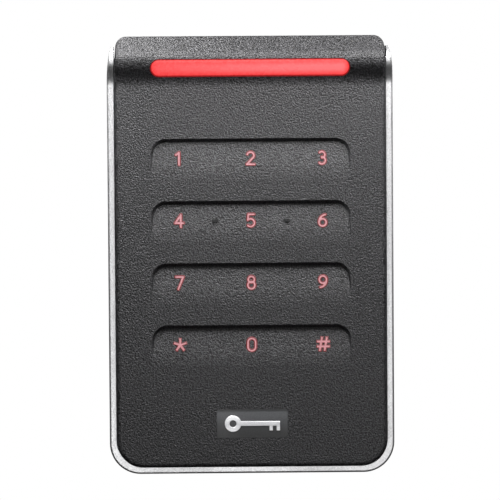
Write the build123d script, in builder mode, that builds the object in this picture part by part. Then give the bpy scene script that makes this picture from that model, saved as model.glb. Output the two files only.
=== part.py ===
"""Keypad access reader for a wall: a touch keypad reader that hooks on a silver mounting plate.

Millimetres. The origin is the centre of the mounting plate's back face, +Z is up, +Y goes into
the wall and the keypad faces -Y. Depths are counted forward from the wall, as positive numbers.
"""

import os
from math import atan2, cos, degrees, hypot, radians, sin, tan

from build123d import *

# ---- driving dimensions -------------------------------------------------------------------
WIDTH = 79.4  # mounting plate, across
HEIGHT = 121.8  # bottom of the plate to the top of the cover
DEPTH = 21.5  # wall to the front of the lip
FACE_DEPTH = 17.6  # wall to the keypad's face

BOTTOM_Z = -HEIGHT / 2
TOP_Z = HEIGHT / 2

# cover
COVER_HALF_W = 37.55
COVER_BOTTOM_Z = -58.75
COVER_CORNER_R = 7.3
COVER_TOP_R = 3.0
COVER_TOP_HALF_W = 36.9
COVER_BACK = 4.0  # wall to the cover's back edge
COVER_WALL = 2.2
COVER_STEP = 1.6  # ledge that the seal is pressed against
LEDGE_DEPTH = 10.0
FACE_INSIDE = 14.6  # wall to the inside of the face
FACE_EDGE_R = 1.3

# lip: the face curves forward into it, and its top slants back
LIP_TOP_Z = 54.6  # where the lip is furthest forward
LIP_LEAN = 42.0  # degrees, of the slope under the lip
HOLLOW_R = 4.5
LIP_R = 4.2
CROWN_R = 2.8
CROWN_LEAN = 46.0  # degrees, of the slant above the lip
LIP_INSIDE = 17.0
LIP_ROOM_BOTTOM = 47.9
LIP_ROOM_TOP = 57.0
LIP_ROOM_WIDTH = 64.0

# light bar
BAR_Z = 52.1
BAR_LENGTH = 54.8
BAR_HEIGHT = 4.5
BAR_GAP = 0.22
LENS_FLANGE = 0.8
DIFFUSER = 0.7

# keypad
KEY_PITCH_X = 19.85
KEY_PITCH_Z = 17.23
KEY_CENTRE_Z = 1.25
RECESS_WIDTH = 55.2
RECESS_DEPTH = 1.5
RECESS_CORNER_R = 4.2
RECESS_WALL_LEAN = 35.0  # degrees
RECESS_RAMP = 9.0  # degrees, of the floor that runs out into the face
RECESS_BLEND = 4.2  # height over which the floor's foot curves into the face
LEGEND_HEIGHT = 4.05
LEGEND_STROKE = 0.68
KEY_ROWS = (("1", "2", "3"), ("4", "5", "6"), ("7", "8", "9"), ("star", "0", "hash"))

STAR_R = 1.9
HASH_SPACING = 1.35
HASH_WIDTH = 3.7
HASH_LEAN = 10.0  # degrees
ZERO_WIDTH = 2.8
LEGEND_BACK = 15.9  # wall to the back of the inlaid legends
RECESS_RISE = 5.5  # legend's centre to the recess's top edge
DASH = (2.0, 0.8)
DASH_DEPTH = 0.9
DASH_SHY = 0.15

# badge
BADGE_Z = -46.6
BADGE_SIZE = (19.7, 8.0)
BADGE_R = 0.6
BADGE_SUNK = 0.5
BADGE_SHY = 0.35  # plate's face, behind the keypad's face
KEY_ICON = 15.4
BOW_R = 2.3
BOW_RING = 1.35
TOOTH = 2.0

# mounting plate
PLATE_WALL = 2.0
RIM_GAP = 0.3
RIM_CORNER_R = 8.6
SHOULDER_Z = 48.0  # the rim's sides curve inwards above this
SHOULDER_TOP_Z = 58.0
SHOULDER_HALF_W = 38.55
RIM_SET_BACK = 4.6  # rim's front edge, behind the cover's surface
RIM_EDGE_R = 0.6
PLATE_TOP_Z = 55.0
BOX_PITCH = 83.3  # gang box screws, up and down
ROUND_BOX_PITCH = 60.3  # round box screws, side to side
BOX_SLOT = (8.0, 4.4)
WINDOW = (46.0, 44.0)
WINDOW_Z = -14.0

# hinge of the reader on the plate
HINGE_DEPTH = 6.0
HINGE_Z = 53.0
BAR_R = 1.1
HOOK_R = 2.5
HOOK_BORE_R = 1.16
HOOK_X = 20.0
HOOK_WIDTH = 7.0
HINGE_BAR_LENGTH = 8.4
WEB = 1.6
WEB_FOOT = 3.8
WEB_END_R = 1.35

# rear housing
HOUSING_BACK = 2.6
HOUSING_WALL = 1.6
HOUSING_TOP_Z = 48.5
HOUSING_FRONT = 8.8
HOUSING_GAP = 0.15
SEAL_WIDTH = 1.5
TONGUE_BACK = 7.7
POST_X = 31.2
POST_PLACES = ((-POST_X, 42.5), (POST_X, 42.5), (-POST_X, -51.0), (POST_X, -51.0))
POST_R = 2.6
PILLAR_R = 2.4
COVER_SCREW_R = 1.1
COVER_SCREW_REACH = 4.5
SCREW_SINK_R = 2.1
SCREW_SINK = 1.4
COLLAR = 1.2
COLLAR_SHY = 0.3
POCKET_HALF_W = 4.4
POCKET_TOP_Z = -49.6
POCKET_DEPTH = 7.9
CATCH_Z = -54.5
TERMINAL_Z = -20.0
TERMINAL_HOLE = (40.0, 12.6)

# security screw
SCREW_DEPTH = 5.6
SCREW_R = 1.25
SCREW_BORE_R = 1.3
SCREW_HEAD_R = 2.6
SCREW_LENGTH = 9.0
BOSS_R = 2.8
BOSS_TOP_Z = -57.4
NOTCH_CLEARANCE = 0.6

# touch board, right behind the face
TOUCH_BOARD = 1.0
TOUCH_BOARD_BACK = 13.5
TOUCH_BOARD_SIZE = (56.8, 95.0)
TOUCH_BOARD_Z = 7.5
KEY_WINDOW_R = 3.3
LED = (7.2, 1.6, 0.8)
BAR_LEDS = 8
BAR_LED = (3.0, 1.4, 0.8)
LOOP_TURNS = 4
LOOP_SIZE = (55.4, 78.0)
LOOP_PITCH = 1.0
LOOP_TRACK = (0.5, 0.07)

# main board, on standoffs behind it
MAIN_BOARD = 1.6
MAIN_BOARD_BACK = 8.6
MAIN_BOARD_SIZE = (56.4, 90.0)
MAIN_BOARD_Z = -1.0
STANDOFFS = ((-25.0, 38.0), (25.0, 38.0), (-25.0, -41.0), (25.0, -41.0))
STANDOFF_R = 2.2
BOARD_SCREW_R = 0.9
COIL_SIZE = (50.0, 62.0)
COIL_SECTION = (2.2, 1.7)
COIL_Z = -2.0
FERRITE = 0.4
LINK_Z = 41.9
LINK_SIZE = (22.0, 3.4)

BUZZER = (5.6, 3.2)
BUZZER_PLACE = (13.0, -34.0)
PIPE_R = 1.3

# terminals
CLAMP_OFFSET = 1.6
WIRE_HOLE_DEPTH = 2.9
TERMINALS = 10
TERMINAL_PITCH = 3.5
HEADER_SIZE = (37.4, 10.0)
HEADER_HEIGHT = 4.0
HEADER_ROOM = (34.8, 7.8)
HEADER_FLOOR = 1.0
PLUG_TONGUE = (34.3, 7.3)
PLUG_HEAD = (37.0, 10.6)
PLUG_BACK = 0.6
PIN = 0.7
SOCKET = 1.2
CLAMP_R = 1.25
WIRE_HOLE_R = 1.0

os.makedirs("parts", exist_ok=True)


def front(depth):
    """Plane facing the user at a depth from the wall: its x is +X and its y is +Z."""
    return Plane(origin=(0, -depth, 0), x_dir=(1, 0, 0), z_dir=(0, -1, 0))


def level(height):
    """Horizontal plane at a height."""
    return Plane.XY.offset(height)


SIDE = Plane(origin=(0, 0, 0), x_dir=(0, -1, 0), z_dir=(-1, 0, 0))  # its x is depth, its y is +Z


def keep(builder, name):
    """Label a finished piece and write it to its STEP file."""
    builder.part.label = name
    export_step(builder.part, f"parts/{name}.step")


def slab(width, height, centre, back, thickness, radius=0.0):
    """A board-like block: rounded rectangle facing the user, its back at a depth from the wall."""
    with BuildPart() as block:
        with BuildSketch(front(back)):
            with Locations(centre):
                if radius:
                    RectangleRounded(width, height, radius)
                else:
                    Rectangle(width, height)
        extrude(amount=thickness)
    return block


def cover_outline(inset=0.0):
    """Sketch of the cover seen from the front, with its sides drawn in a little at the top."""
    with BuildSketch(mode=Mode.PRIVATE) as outline:
        with BuildLine():
            low = Line((0, COVER_BOTTOM_Z), (COVER_HALF_W - COVER_CORNER_R, COVER_BOTTOM_Z))
            corner_end = (COVER_HALF_W, COVER_BOTTOM_Z + COVER_CORNER_R)
            corner = TangentArc(low @ 1, corner_end, tangent=low % 1)
            side = Line(corner @ 1, (COVER_HALF_W, SHOULDER_Z))
            shoulder = TangentArc(side @ 1, (COVER_TOP_HALF_W, TOP_Z), tangent=side % 1)
            Line(shoulder @ 1, (0, TOP_Z))
            mirror(about=Plane.YZ)
        make_face()
        fillet(outline.vertices().group_by(Axis.Y)[-1].filter_by(lambda v: abs(v.X) > 1), COVER_TOP_R)
        if inset:
            offset(amount=-inset, mode=Mode.REPLACE)
    return outline.sketch


def wave(set_back=0.0):
    """Side outline of the cover, moved back by set_back: depth across, height up.

    Flat face, hollow curve, slope under the lip, lip, crown, slant to the top.
    """
    lean = radians(LIP_LEAN)
    rise = DEPTH - FACE_DEPTH
    slope = (rise - (HOLLOW_R + LIP_R) * (1 - cos(lean))) / sin(lean)
    lip = (DEPTH - set_back, LIP_TOP_Z)
    lip_start = (lip[0] - LIP_R * (1 - cos(lean)), lip[1] - LIP_R * sin(lean))
    slope_start = (lip_start[0] - slope * sin(lean), lip_start[1] - slope * cos(lean))
    face_end = (FACE_DEPTH - set_back, slope_start[1] - HOLLOW_R * sin(lean))
    back_lean = radians(CROWN_LEAN)
    crown_end = (lip[0] - CROWN_R * (1 - cos(back_lean)), lip[1] + CROWN_R * sin(back_lean))
    slant_end = (crown_end[0] - (TOP_Z - crown_end[1]) * tan(back_lean), TOP_Z)
    mid = (face_end[0] + HOLLOW_R * (1 - cos(lean / 2)), face_end[1] + HOLLOW_R * sin(lean / 2))
    lip_mid = (lip[0] - LIP_R * (1 - cos(lean / 2)), lip[1] - LIP_R * sin(lean / 2))
    half = back_lean / 2
    crown_mid = (lip[0] - CROWN_R * (1 - cos(half)), lip[1] + CROWN_R * sin(half))
    return face_end, mid, slope_start, lip_start, lip_mid, lip, crown_mid, crown_end, slant_end


def behind_wave(set_back=0.0):
    """Everything behind the wave, wider and taller than the reader."""
    face_end, mid, slope_start, lip_start, lip_mid, lip, crown_mid, crown_end, slant_end = wave(set_back)
    margin = 2.0
    with BuildPart() as body:
        with BuildSketch(SIDE.offset(WIDTH)):
            with BuildLine():
                Line((face_end[0], BOTTOM_Z - margin), face_end)
                ThreePointArc(face_end, mid, slope_start)
                Line(slope_start, lip_start)
                ThreePointArc(lip_start, lip_mid, lip)
                ThreePointArc(lip, crown_mid, crown_end)
                Line(crown_end, slant_end)
                Polyline(
                    slant_end,
                    (slant_end[0], TOP_Z + margin),
                    (-margin, TOP_Z + margin),
                    (-margin, BOTTOM_Z - margin),
                    (face_end[0], BOTTOM_Z - margin),
                )
            make_face()
        extrude(amount=-2 * WIDTH)
    return body.part


def outer_front_edges(body, bottom_z):
    """Edges round a block's front, without the lines that cross it or the corners' side lines."""
    edges = body.edges().filter_by(lambda e: e.center().Y < -COVER_BACK - 0.1)
    level_edges = edges.filter_by(Axis.X)
    crossings = level_edges.filter_by(lambda e: bottom_z + 1 < e.center().Z < SHOULDER_TOP_Z - 1)
    return edges - crossings - edges.filter_by(Axis.Y)


# ---- mounting plate -----------------------------------------------------------------------
def plate_outline():
    """Sketch of the mounting plate seen from the front."""
    half = WIDTH / 2
    with BuildSketch(mode=Mode.PRIVATE) as outline:
        with BuildLine():
            low_right = Line((0, BOTTOM_Z), (half - RIM_CORNER_R, BOTTOM_Z))
            corner = TangentArc(low_right @ 1, (half, BOTTOM_Z + RIM_CORNER_R), tangent=low_right % 1)
            side = Line(corner @ 1, (half, SHOULDER_Z))
            shoulder = TangentArc(side @ 1, (SHOULDER_HALF_W, SHOULDER_TOP_Z), tangent=side % 1)
            Line(shoulder @ 1, (0, SHOULDER_TOP_Z))
            mirror(about=Plane.YZ)
        make_face()
    return outline.sketch


with BuildPart() as wall_plate:
    with BuildSketch(front(0)):
        add(plate_outline())
    extrude(amount=DEPTH)
    # the front edge follows the cover's surface, a little behind it
    add(behind_wave(RIM_SET_BACK), mode=Mode.INTERSECT)
    fillet(outer_front_edges(wall_plate, BOTTOM_Z), RIM_EDGE_R)
    with BuildSketch(front(PLATE_WALL)):
        add(cover_outline(-RIM_GAP))
    extrude(amount=DEPTH, mode=Mode.SUBTRACT)
    # above the hinge bars the back wall ends, so that the cover's top can swing through
    with BuildSketch(front(-0.5)):
        with Locations((0, (PLATE_TOP_Z + TOP_Z) / 2)):
            Rectangle(2 * (COVER_HALF_W + RIM_GAP), TOP_Z - PLATE_TOP_Z)
    extrude(amount=DEPTH, mode=Mode.SUBTRACT)
    # boss for the security screw, standing on the bottom wall
    with BuildSketch(level(BOTTOM_Z + 0.5)):
        with Locations((0, -SCREW_DEPTH)):
            Circle(BOSS_R)
        with Locations((0, -(SCREW_DEPTH + PLATE_WALL) / 2)):
            Rectangle(2 * BOSS_R, SCREW_DEPTH - PLATE_WALL + 0.4)
    extrude(amount=BOSS_TOP_Z - BOTTOM_Z - 0.5)
    # webs and bars that the reader hooks on
    web_x = (HINGE_BAR_LENGTH + WEB) / 2
    for side in (-1, 1):
        for end in (-1, 1):
            centre_x = side * HOOK_X + end * web_x
            with BuildSketch(Plane.YZ.offset(centre_x - WEB / 2)):
                with BuildLine():
                    Polyline(
                        (-PLATE_WALL + 0.2, HINGE_Z - WEB_FOOT),
                        (-PLATE_WALL + 0.2, HINGE_Z + WEB_END_R),
                        (-HINGE_DEPTH, HINGE_Z + WEB_END_R),
                        (-HINGE_DEPTH - 0.8 * WEB_END_R, HINGE_Z - 0.55 * WEB_END_R),
                        close=True,
                    )
                make_face()
                with Locations((-HINGE_DEPTH, HINGE_Z)):
                    Circle(WEB_END_R)
            extrude(amount=WEB)
        with BuildSketch(Plane.YZ.offset(side * HOOK_X - HINGE_BAR_LENGTH / 2 - 0.4)):
            with Locations((-HINGE_DEPTH, HINGE_Z)):
                Circle(BAR_R)
        extrude(amount=HINGE_BAR_LENGTH + 0.8)
    # cable opening, and slots for the screws of gang boxes and round boxes
    with BuildSketch(front(-0.5)):
        with Locations((0, WINDOW_Z)):
            RectangleRounded(*WINDOW, 3.0)
    extrude(amount=PLATE_WALL + 1, mode=Mode.SUBTRACT)
    with BuildSketch(front(-0.5)):
        with Locations((0, BOX_PITCH / 2), (0, -BOX_PITCH / 2)):
            SlotOverall(*BOX_SLOT, rotation=90)
        with Locations((ROUND_BOX_PITCH / 2, 0), (-ROUND_BOX_PITCH / 2, 0)):
            SlotOverall(*BOX_SLOT)
    extrude(amount=PLATE_WALL + 1, mode=Mode.SUBTRACT)
    # sinks for flat screw heads around the slots
    with BuildSketch(front(PLATE_WALL)):
        with Locations((0, BOX_PITCH / 2), (0, -BOX_PITCH / 2)):
            SlotOverall(BOX_SLOT[0] + 2.4, BOX_SLOT[1] + 2.4, rotation=90)
        with Locations((ROUND_BOX_PITCH / 2, 0), (-ROUND_BOX_PITCH / 2, 0)):
            SlotOverall(BOX_SLOT[0] + 2.4, BOX_SLOT[1] + 2.4)
    extrude(amount=-1.2, taper=45, mode=Mode.SUBTRACT)
    # bore and sink for the security screw
    with BuildSketch(level(BOTTOM_Z - 0.5)):
        with Locations((0, -SCREW_DEPTH)):
            Circle(SCREW_BORE_R)
    extrude(amount=6, mode=Mode.SUBTRACT)
    with BuildSketch(level(BOTTOM_Z - 0.01)):
        with Locations((0, -SCREW_DEPTH)):
            Circle(SCREW_HEAD_R + 0.1)
    extrude(amount=1.36, taper=40, mode=Mode.SUBTRACT)
keep(wall_plate, "wall_plate")

# security screw, sunk flush with the bottom of the rim
with BuildPart() as security_screw:
    with BuildSketch(level(BOTTOM_Z + 0.12)):
        with Locations((0, -SCREW_DEPTH)):
            Circle(SCREW_HEAD_R - 0.05)
    extrude(amount=1.15, taper=40)
    with BuildSketch(level(BOTTOM_Z + 0.12)):
        with Locations((0, -SCREW_DEPTH)):
            Circle(SCREW_R)
    extrude(amount=SCREW_LENGTH)
    tip = security_screw.edges().filter_by(GeomType.CIRCLE).sort_by(Axis.Z)[-1]
    chamfer(tip, 0.5)
    # pin-in-hex recess in the head
    with BuildSketch(level(BOTTOM_Z + 0.12)):
        with Locations((0, -SCREW_DEPTH)):
            RegularPolygon(1.15, 6)
            Circle(0.45, mode=Mode.SUBTRACT)
    extrude(amount=1.1, mode=Mode.SUBTRACT)
keep(security_screw, "security_screw")

# ---- front cover --------------------------------------------------------------------------
def key_centre(column, row):
    """Centre of a key's legend, seen from the front."""
    return (column - 1) * KEY_PITCH_X, KEY_CENTRE_Z + (1.5 - row) * KEY_PITCH_Z


def recess_top(row):
    """Height of the top edge of a row's finger recess."""
    return key_centre(0, row)[1] + RECESS_RISE


def recess_cutter(row):
    """Finger recess: leaning wall at its top and ends, ramp that runs out into the face below."""
    top = recess_top(row)
    foot_depth = RECESS_BLEND * tan(radians(RECESS_RAMP / 2 + 0.5))
    ramp_height = (RECESS_DEPTH - foot_depth) / tan(radians(RECESS_RAMP))
    bottom = top - ramp_height - RECESS_BLEND
    with BuildPart() as cutter:
        with BuildSketch(front(FACE_DEPTH)) as outline:
            with Locations((0, bottom)):
                Rectangle(RECESS_WIDTH, 2 * (top - bottom))
            fillet(outline.vertices().group_by(Axis.Y)[-1], RECESS_CORNER_R)
        extrude(amount=-RECESS_DEPTH, taper=RECESS_WALL_LEAN)
        with BuildSketch(Plane.YZ.offset(-WIDTH / 2)):
            with BuildLine():
                ramp_foot = (foot_depth - FACE_DEPTH, top - ramp_height)
                ramp = Line((RECESS_DEPTH - FACE_DEPTH, top), ramp_foot)
                TangentArc(ramp_foot, (-FACE_DEPTH, bottom), tangent=ramp % 1)
                Polyline((-FACE_DEPTH, bottom), (-FACE_DEPTH, top), (RECESS_DEPTH - FACE_DEPTH, top))
            make_face()
        extrude(amount=WIDTH, mode=Mode.INTERSECT)
    return cutter


def capsule(length, height, back, depth, centre_z):
    """Round-ended bar facing the user."""
    with BuildPart() as bar:
        with BuildSketch(front(back)):
            with Locations((0, centre_z)):
                SlotOverall(length, height)
        extrude(amount=depth)
    return bar


with BuildPart() as cover_body:
    with BuildSketch(front(COVER_BACK)):
        add(cover_outline())
    extrude(amount=DEPTH)
    add(behind_wave(), mode=Mode.INTERSECT)
    fillet(outer_front_edges(cover_body, COVER_BOTTOM_Z), FACE_EDGE_R)
    for row in range(len(KEY_ROWS)):
        add(recess_cutter(row).part, mode=Mode.SUBTRACT)


# ---- legends, each inlaid in the floor of its recess ---------------------------------------
# Strokes of each key's symbol, on its centre. A line is a list of points; an arc is its centre,
# radius, first angle and sweep.
TALL = (LEGEND_HEIGHT - LEGEND_STROKE) / 2  # centre of the symbol to the middle of its top stroke
LINES = {
    "1": [[(-0.8, 1.05), (0.1, TALL), (0.1, -TALL)]],
    "2": [[(0.78, 0.28), (-1.05, -TALL), (1.05, -TALL)]],
    "4": [[(0.45, -TALL), (0.45, TALL), (-1.15, -0.6), (1.15, -0.6)]],
    "5": [[(0.85, TALL), (-0.75, TALL), (-0.85, 0.17)]],
    "7": [[(-1.05, TALL), (1.05, TALL), (-0.4, -TALL)]],
}
ARCS = {
    "2": [((0, TALL - 0.95), 0.95, -35, 195)],
    "3": [((-0.1, TALL - 0.85), 0.85, -90, 225), ((-0.1, 0.97 - TALL), 0.97, 90, -225)],
    "5": [((-0.1, 1.06 - TALL), 1.06, 135, -270)],
    "6": [((0, 1.0 - TALL), 1.0, 0, 360), ((1.0, -0.55), 2.0, 97, 90)],
    "8": [((0, TALL - 0.84), 0.84, 0, 360), ((0, 0.97 - TALL), 0.97, 0, 360)],
    "9": [((0, TALL - 1.0), 1.0, 0, 360), ((-1.0, 0.55), 2.0, -83, 90)],
}


def dot(place):
    """Round end or corner of a stroke."""
    with Locations(place):
        Circle(LEGEND_STROKE / 2)


def draw_lines(centre, points):
    """Straight strokes from point to point, with round corners and ends."""
    places = [(centre[0] + x, centre[1] + z) for x, z in points]
    for start, end in zip(places, places[1:]):
        across, up = end[0] - start[0], end[1] - start[1]
        middle = ((start[0] + end[0]) / 2, (start[1] + end[1]) / 2, 0)
        with Locations(Location(middle, (0, 0, degrees(atan2(up, across))))):
            Rectangle(hypot(across, up), LEGEND_STROKE)
    for place in places:
        dot(place)


def draw_arc(centre, arc_centre, radius, first, sweep):
    """Curved stroke: a ring, kept only over the sweep, with round ends."""
    x, z = centre[0] + arc_centre[0], centre[1] + arc_centre[1]
    half = LEGEND_STROKE / 2
    with BuildSketch(mode=Mode.PRIVATE) as ring:
        with Locations((x, z)):
            Circle(radius + half)
            Circle(radius - half, mode=Mode.SUBTRACT)
        if abs(sweep) < 360:
            ends = (first, first + sweep) if sweep > 0 else (first + sweep, first)
            steps = [ends[0] + (ends[1] - ends[0]) * i / 6 for i in range(7)]
            reach = 2 * radius + 1
            fan = [(x + reach * cos(radians(a)), z + reach * sin(radians(a))) for a in steps]
            with BuildSketch(mode=Mode.INTERSECT):
                with BuildLine():
                    Polyline((x, z), *fan, close=True)
                make_face()
    add(ring.sketch)
    if abs(sweep) < 360:
        for angle in (first, first + sweep):
            dot((x + radius * cos(radians(angle)), z + radius * sin(radians(angle))))


def draw_zero(centre):
    """The 0, a tall ring with straight sides."""
    with Locations(centre):
        SlotOverall(LEGEND_HEIGHT, ZERO_WIDTH, rotation=90)
        SlotOverall(LEGEND_HEIGHT - 2 * LEGEND_STROKE, ZERO_WIDTH - 2 * LEGEND_STROKE, rotation=90,
                    mode=Mode.SUBTRACT)


def draw_star(centre):
    """The star key's five arms."""
    for arm in range(5):
        with Locations(Location((*centre, 0), (0, 0, 90 + 72 * arm))):
            with Locations((STAR_R / 2, 0)):
                Rectangle(STAR_R, LEGEND_STROKE)


def draw_hash(centre):
    """The hash key's two leaning uprights and two bars."""
    x, z = centre
    for side in (-1, 1):
        with Locations(Location((x + side * HASH_SPACING / 2, z, 0), (0, 0, -HASH_LEAN))):
            Rectangle(LEGEND_STROKE, LEGEND_HEIGHT)
        with Locations((x, z + side * HASH_SPACING / 2)):
            Rectangle(HASH_WIDTH, LEGEND_STROKE)


def legend_prism(symbol, centre):
    """A key's symbol, run from within the face's thickness to in front of it."""
    special = {"0": draw_zero, "star": draw_star, "hash": draw_hash}
    with BuildPart() as prism:
        with BuildSketch(front(LEGEND_BACK)):
            if symbol in special:
                special[symbol](centre)
            for points in LINES.get(symbol, ()):
                draw_lines(centre, points)
            for arc in ARCS.get(symbol, ()):
                draw_arc(centre, *arc)
        extrude(amount=FACE_DEPTH - LEGEND_BACK)
    return prism.part


legend_prisms = []
for row, symbols in enumerate(KEY_ROWS):
    for column, symbol in enumerate(symbols):
        prism = legend_prism(symbol, key_centre(column, row))
        legend_prisms.append(prism)
        with BuildPart() as legend:
            add(prism)
            add(cover_body.part, mode=Mode.INTERSECT)
        keep(legend, f"legend_{symbol}")

# ---- light bar ----------------------------------------------------------------------------
with BuildPart() as light_bar_lens:
    add(capsule(BAR_LENGTH, BAR_HEIGHT, LIP_INSIDE, DEPTH, BAR_Z).part)
    add(cover_body.part, mode=Mode.INTERSECT)
    add(capsule(BAR_LENGTH + 3, BAR_HEIGHT + 2.8, LIP_INSIDE - LENS_FLANGE, LENS_FLANGE, BAR_Z).part)
keep(light_bar_lens, "light_bar_lens")

diffuser_back = LIP_INSIDE - LENS_FLANGE - DIFFUSER
keep(capsule(BAR_LENGTH + 1, BAR_HEIGHT + 1.6, diffuser_back, DIFFUSER, BAR_Z), "light_bar_diffuser")

# ---- badge --------------------------------------------------------------------------------
badge_back = FACE_DEPTH - BADGE_SUNK - 0.9
badge_plate = slab(*BADGE_SIZE, (0, BADGE_Z), badge_back, 0.9 + BADGE_SUNK - BADGE_SHY, BADGE_R)
keep(badge_plate, "badge_plate")

with BuildPart() as badge_symbol:
    badge_front = FACE_DEPTH - BADGE_SHY
    with BuildSketch(front(badge_front)):
        with Locations((-KEY_ICON / 2 + BOW_R, BADGE_Z)):
            Circle(BOW_R)
            Circle(BOW_R - BOW_RING, mode=Mode.SUBTRACT)
        shaft = KEY_ICON - 2 * BOW_R + 0.2
        with Locations((KEY_ICON / 2 - shaft / 2, BADGE_Z)):
            Rectangle(shaft, BOW_RING)
        for tooth in (0.5, 2.5):
            with Locations((KEY_ICON / 2 - tooth, BADGE_Z - TOOTH / 2)):
                Rectangle(1.0, TOOTH)
    extrude(amount=0.3)
    chamfer(badge_symbol.faces().sort_by(Axis.Y)[0].edges(), 0.12)
keep(badge_symbol, "badge_symbol")

# dashes that the fingertip finds, either side of the 5
dash_x = KEY_PITCH_X / 2
dash_z = key_centre(1, 1)[1]
with BuildPart() as position_dashes:
    with BuildSketch(front(FACE_DEPTH - DASH_DEPTH)):
        with Locations((-dash_x, dash_z), (dash_x, dash_z)):
            SlotOverall(*DASH)
    extrude(amount=DASH_DEPTH - DASH_SHY)
keep(position_dashes, "position_dashes")

with BuildPart() as front_cover:
    add(cover_body.part)
    with BuildSketch(front(COVER_BACK)):
        add(cover_outline(COVER_WALL))
    extrude(amount=LEDGE_DEPTH - COVER_BACK, mode=Mode.SUBTRACT)
    with BuildSketch(front(LEDGE_DEPTH)):
        add(cover_outline(COVER_WALL + COVER_STEP))
    extrude(amount=FACE_INSIDE - LEDGE_DEPTH, mode=Mode.SUBTRACT)
    # room behind the light bar, and the bar's slot
    lip_room = slab(LIP_ROOM_WIDTH, LIP_ROOM_TOP - LIP_ROOM_BOTTOM,
                    (0, (LIP_ROOM_TOP + LIP_ROOM_BOTTOM) / 2),
                    FACE_INSIDE, LIP_INSIDE - FACE_INSIDE, 1.5)
    add(lip_room.part, mode=Mode.SUBTRACT)
    slot = capsule(BAR_LENGTH + 2 * BAR_GAP, BAR_HEIGHT + 2 * BAR_GAP, LIP_INSIDE, DEPTH, BAR_Z)
    add(slot.part, mode=Mode.SUBTRACT)
    for prism in legend_prisms:
        add(prism, mode=Mode.SUBTRACT)
    add(slab(*BADGE_SIZE, (0, BADGE_Z), badge_back, DEPTH, BADGE_R).part, mode=Mode.SUBTRACT)
    add(position_dashes.part, mode=Mode.SUBTRACT)
    # pillars for the cover screws
    with BuildSketch(front(HOUSING_FRONT)):
        with Locations(*POST_PLACES):
            Circle(PILLAR_R)
    extrude(amount=FACE_INSIDE - HOUSING_FRONT + 0.5)
    with BuildSketch(front(HOUSING_FRONT)):
        with Locations(*POST_PLACES):
            Circle(COVER_SCREW_R + 0.02)
    extrude(amount=COVER_SCREW_REACH, mode=Mode.SUBTRACT)
    # notch that clears the plate's screw boss, open towards the wall
    notch_depth = SCREW_DEPTH + BOSS_R + NOTCH_CLEARANCE
    add(slab(2 * (BOSS_R + NOTCH_CLEARANCE), 2 * (COVER_WALL + COVER_STEP), (0, COVER_BOTTOM_Z),
             0, notch_depth).part, mode=Mode.SUBTRACT)
keep(front_cover, "front_cover")


# ---- touch board, its lights and its antenna loop -------------------------------------------
key_places = [key_centre(column, row) for row in range(4) for column in range(3)]

with BuildPart() as touch_board:
    with BuildSketch(front(TOUCH_BOARD_BACK)):
        with Locations((0, TOUCH_BOARD_Z)):
            RectangleRounded(*TOUCH_BOARD_SIZE, 1.5)
        with Locations(*key_places):
            Circle(KEY_WINDOW_R, mode=Mode.SUBTRACT)
    extrude(amount=TOUCH_BOARD)
keep(touch_board, "touch_board")


def blocks(size, places, back, thickness):
    """Equal blocks side by side, in one node."""
    with BuildPart() as group:
        with BuildSketch(front(back)):
            with Locations(*places):
                Rectangle(*size)
        extrude(amount=thickness)
    return group


with BuildPart() as key_diffusers:
    with BuildSketch(front(TOUCH_BOARD_BACK)):
        with Locations(*key_places):
            Circle(KEY_WINDOW_R - 0.05)
    extrude(amount=TOUCH_BOARD)
keep(key_diffusers, "key_diffusers")
keep(blocks(LED[:2], key_places, TOUCH_BOARD_BACK - LED[2], LED[2]), "key_lights")

light_pitch = BAR_LENGTH / BAR_LEDS
bar_light_places = [((i - (BAR_LEDS - 1) / 2) * light_pitch, BAR_Z) for i in range(BAR_LEDS)]
bar_lights = blocks(BAR_LED[:2], bar_light_places, TOUCH_BOARD_BACK + TOUCH_BOARD, BAR_LED[2])
keep(bar_lights, "light_bar_lights")

with BuildPart() as antenna_loop:
    with BuildSketch(front(TOUCH_BOARD_BACK - LOOP_TRACK[1])):
        for turn in range(LOOP_TURNS):
            width, height = (side - 2 * turn * LOOP_PITCH for side in LOOP_SIZE)
            with Locations((0, 0)):
                RectangleRounded(width, height, 2.0)
                inner = (width - 2 * LOOP_TRACK[0], height - 2 * LOOP_TRACK[0])
                RectangleRounded(*inner, 1.5, mode=Mode.SUBTRACT)
    extrude(amount=LOOP_TRACK[1])
keep(antenna_loop, "high_band_antenna")

# ---- main board and what is soldered to it --------------------------------------------------
board_front = MAIN_BOARD_BACK + MAIN_BOARD

with BuildPart() as main_board:
    with BuildSketch(front(MAIN_BOARD_BACK)):
        with Locations((0, MAIN_BOARD_Z)):
            RectangleRounded(*MAIN_BOARD_SIZE, 1.5)
        with Locations(*STANDOFFS):
            Circle(BOARD_SCREW_R + 0.2, mode=Mode.SUBTRACT)
    extrude(amount=MAIN_BOARD)
keep(main_board, "main_board")

keep(slab(COIL_SIZE[0] + 1, COIL_SIZE[1] + 1, (0, COIL_Z), board_front, FERRITE), "ferrite_sheet")

with BuildPart() as low_band_antenna:
    with BuildSketch(front(board_front + FERRITE)):
        with Locations((0, COIL_Z)):
            RectangleRounded(*COIL_SIZE, 7.0)
            coil_room = [side - 2 * COIL_SECTION[0] for side in COIL_SIZE]
            RectangleRounded(*coil_room, 7.0 - COIL_SECTION[0], mode=Mode.SUBTRACT)
    extrude(amount=COIL_SECTION[1])
keep(low_band_antenna, "low_band_antenna")

keep(slab(*LINK_SIZE, (0, LINK_Z), board_front, 1.6), "board_link_socket")
keep(slab(LINK_SIZE[0] - 1, LINK_SIZE[1] - 0.8, (0, LINK_Z), board_front + 1.6,
          TOUCH_BOARD_BACK - board_front - 1.6), "board_link_plug")

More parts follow.
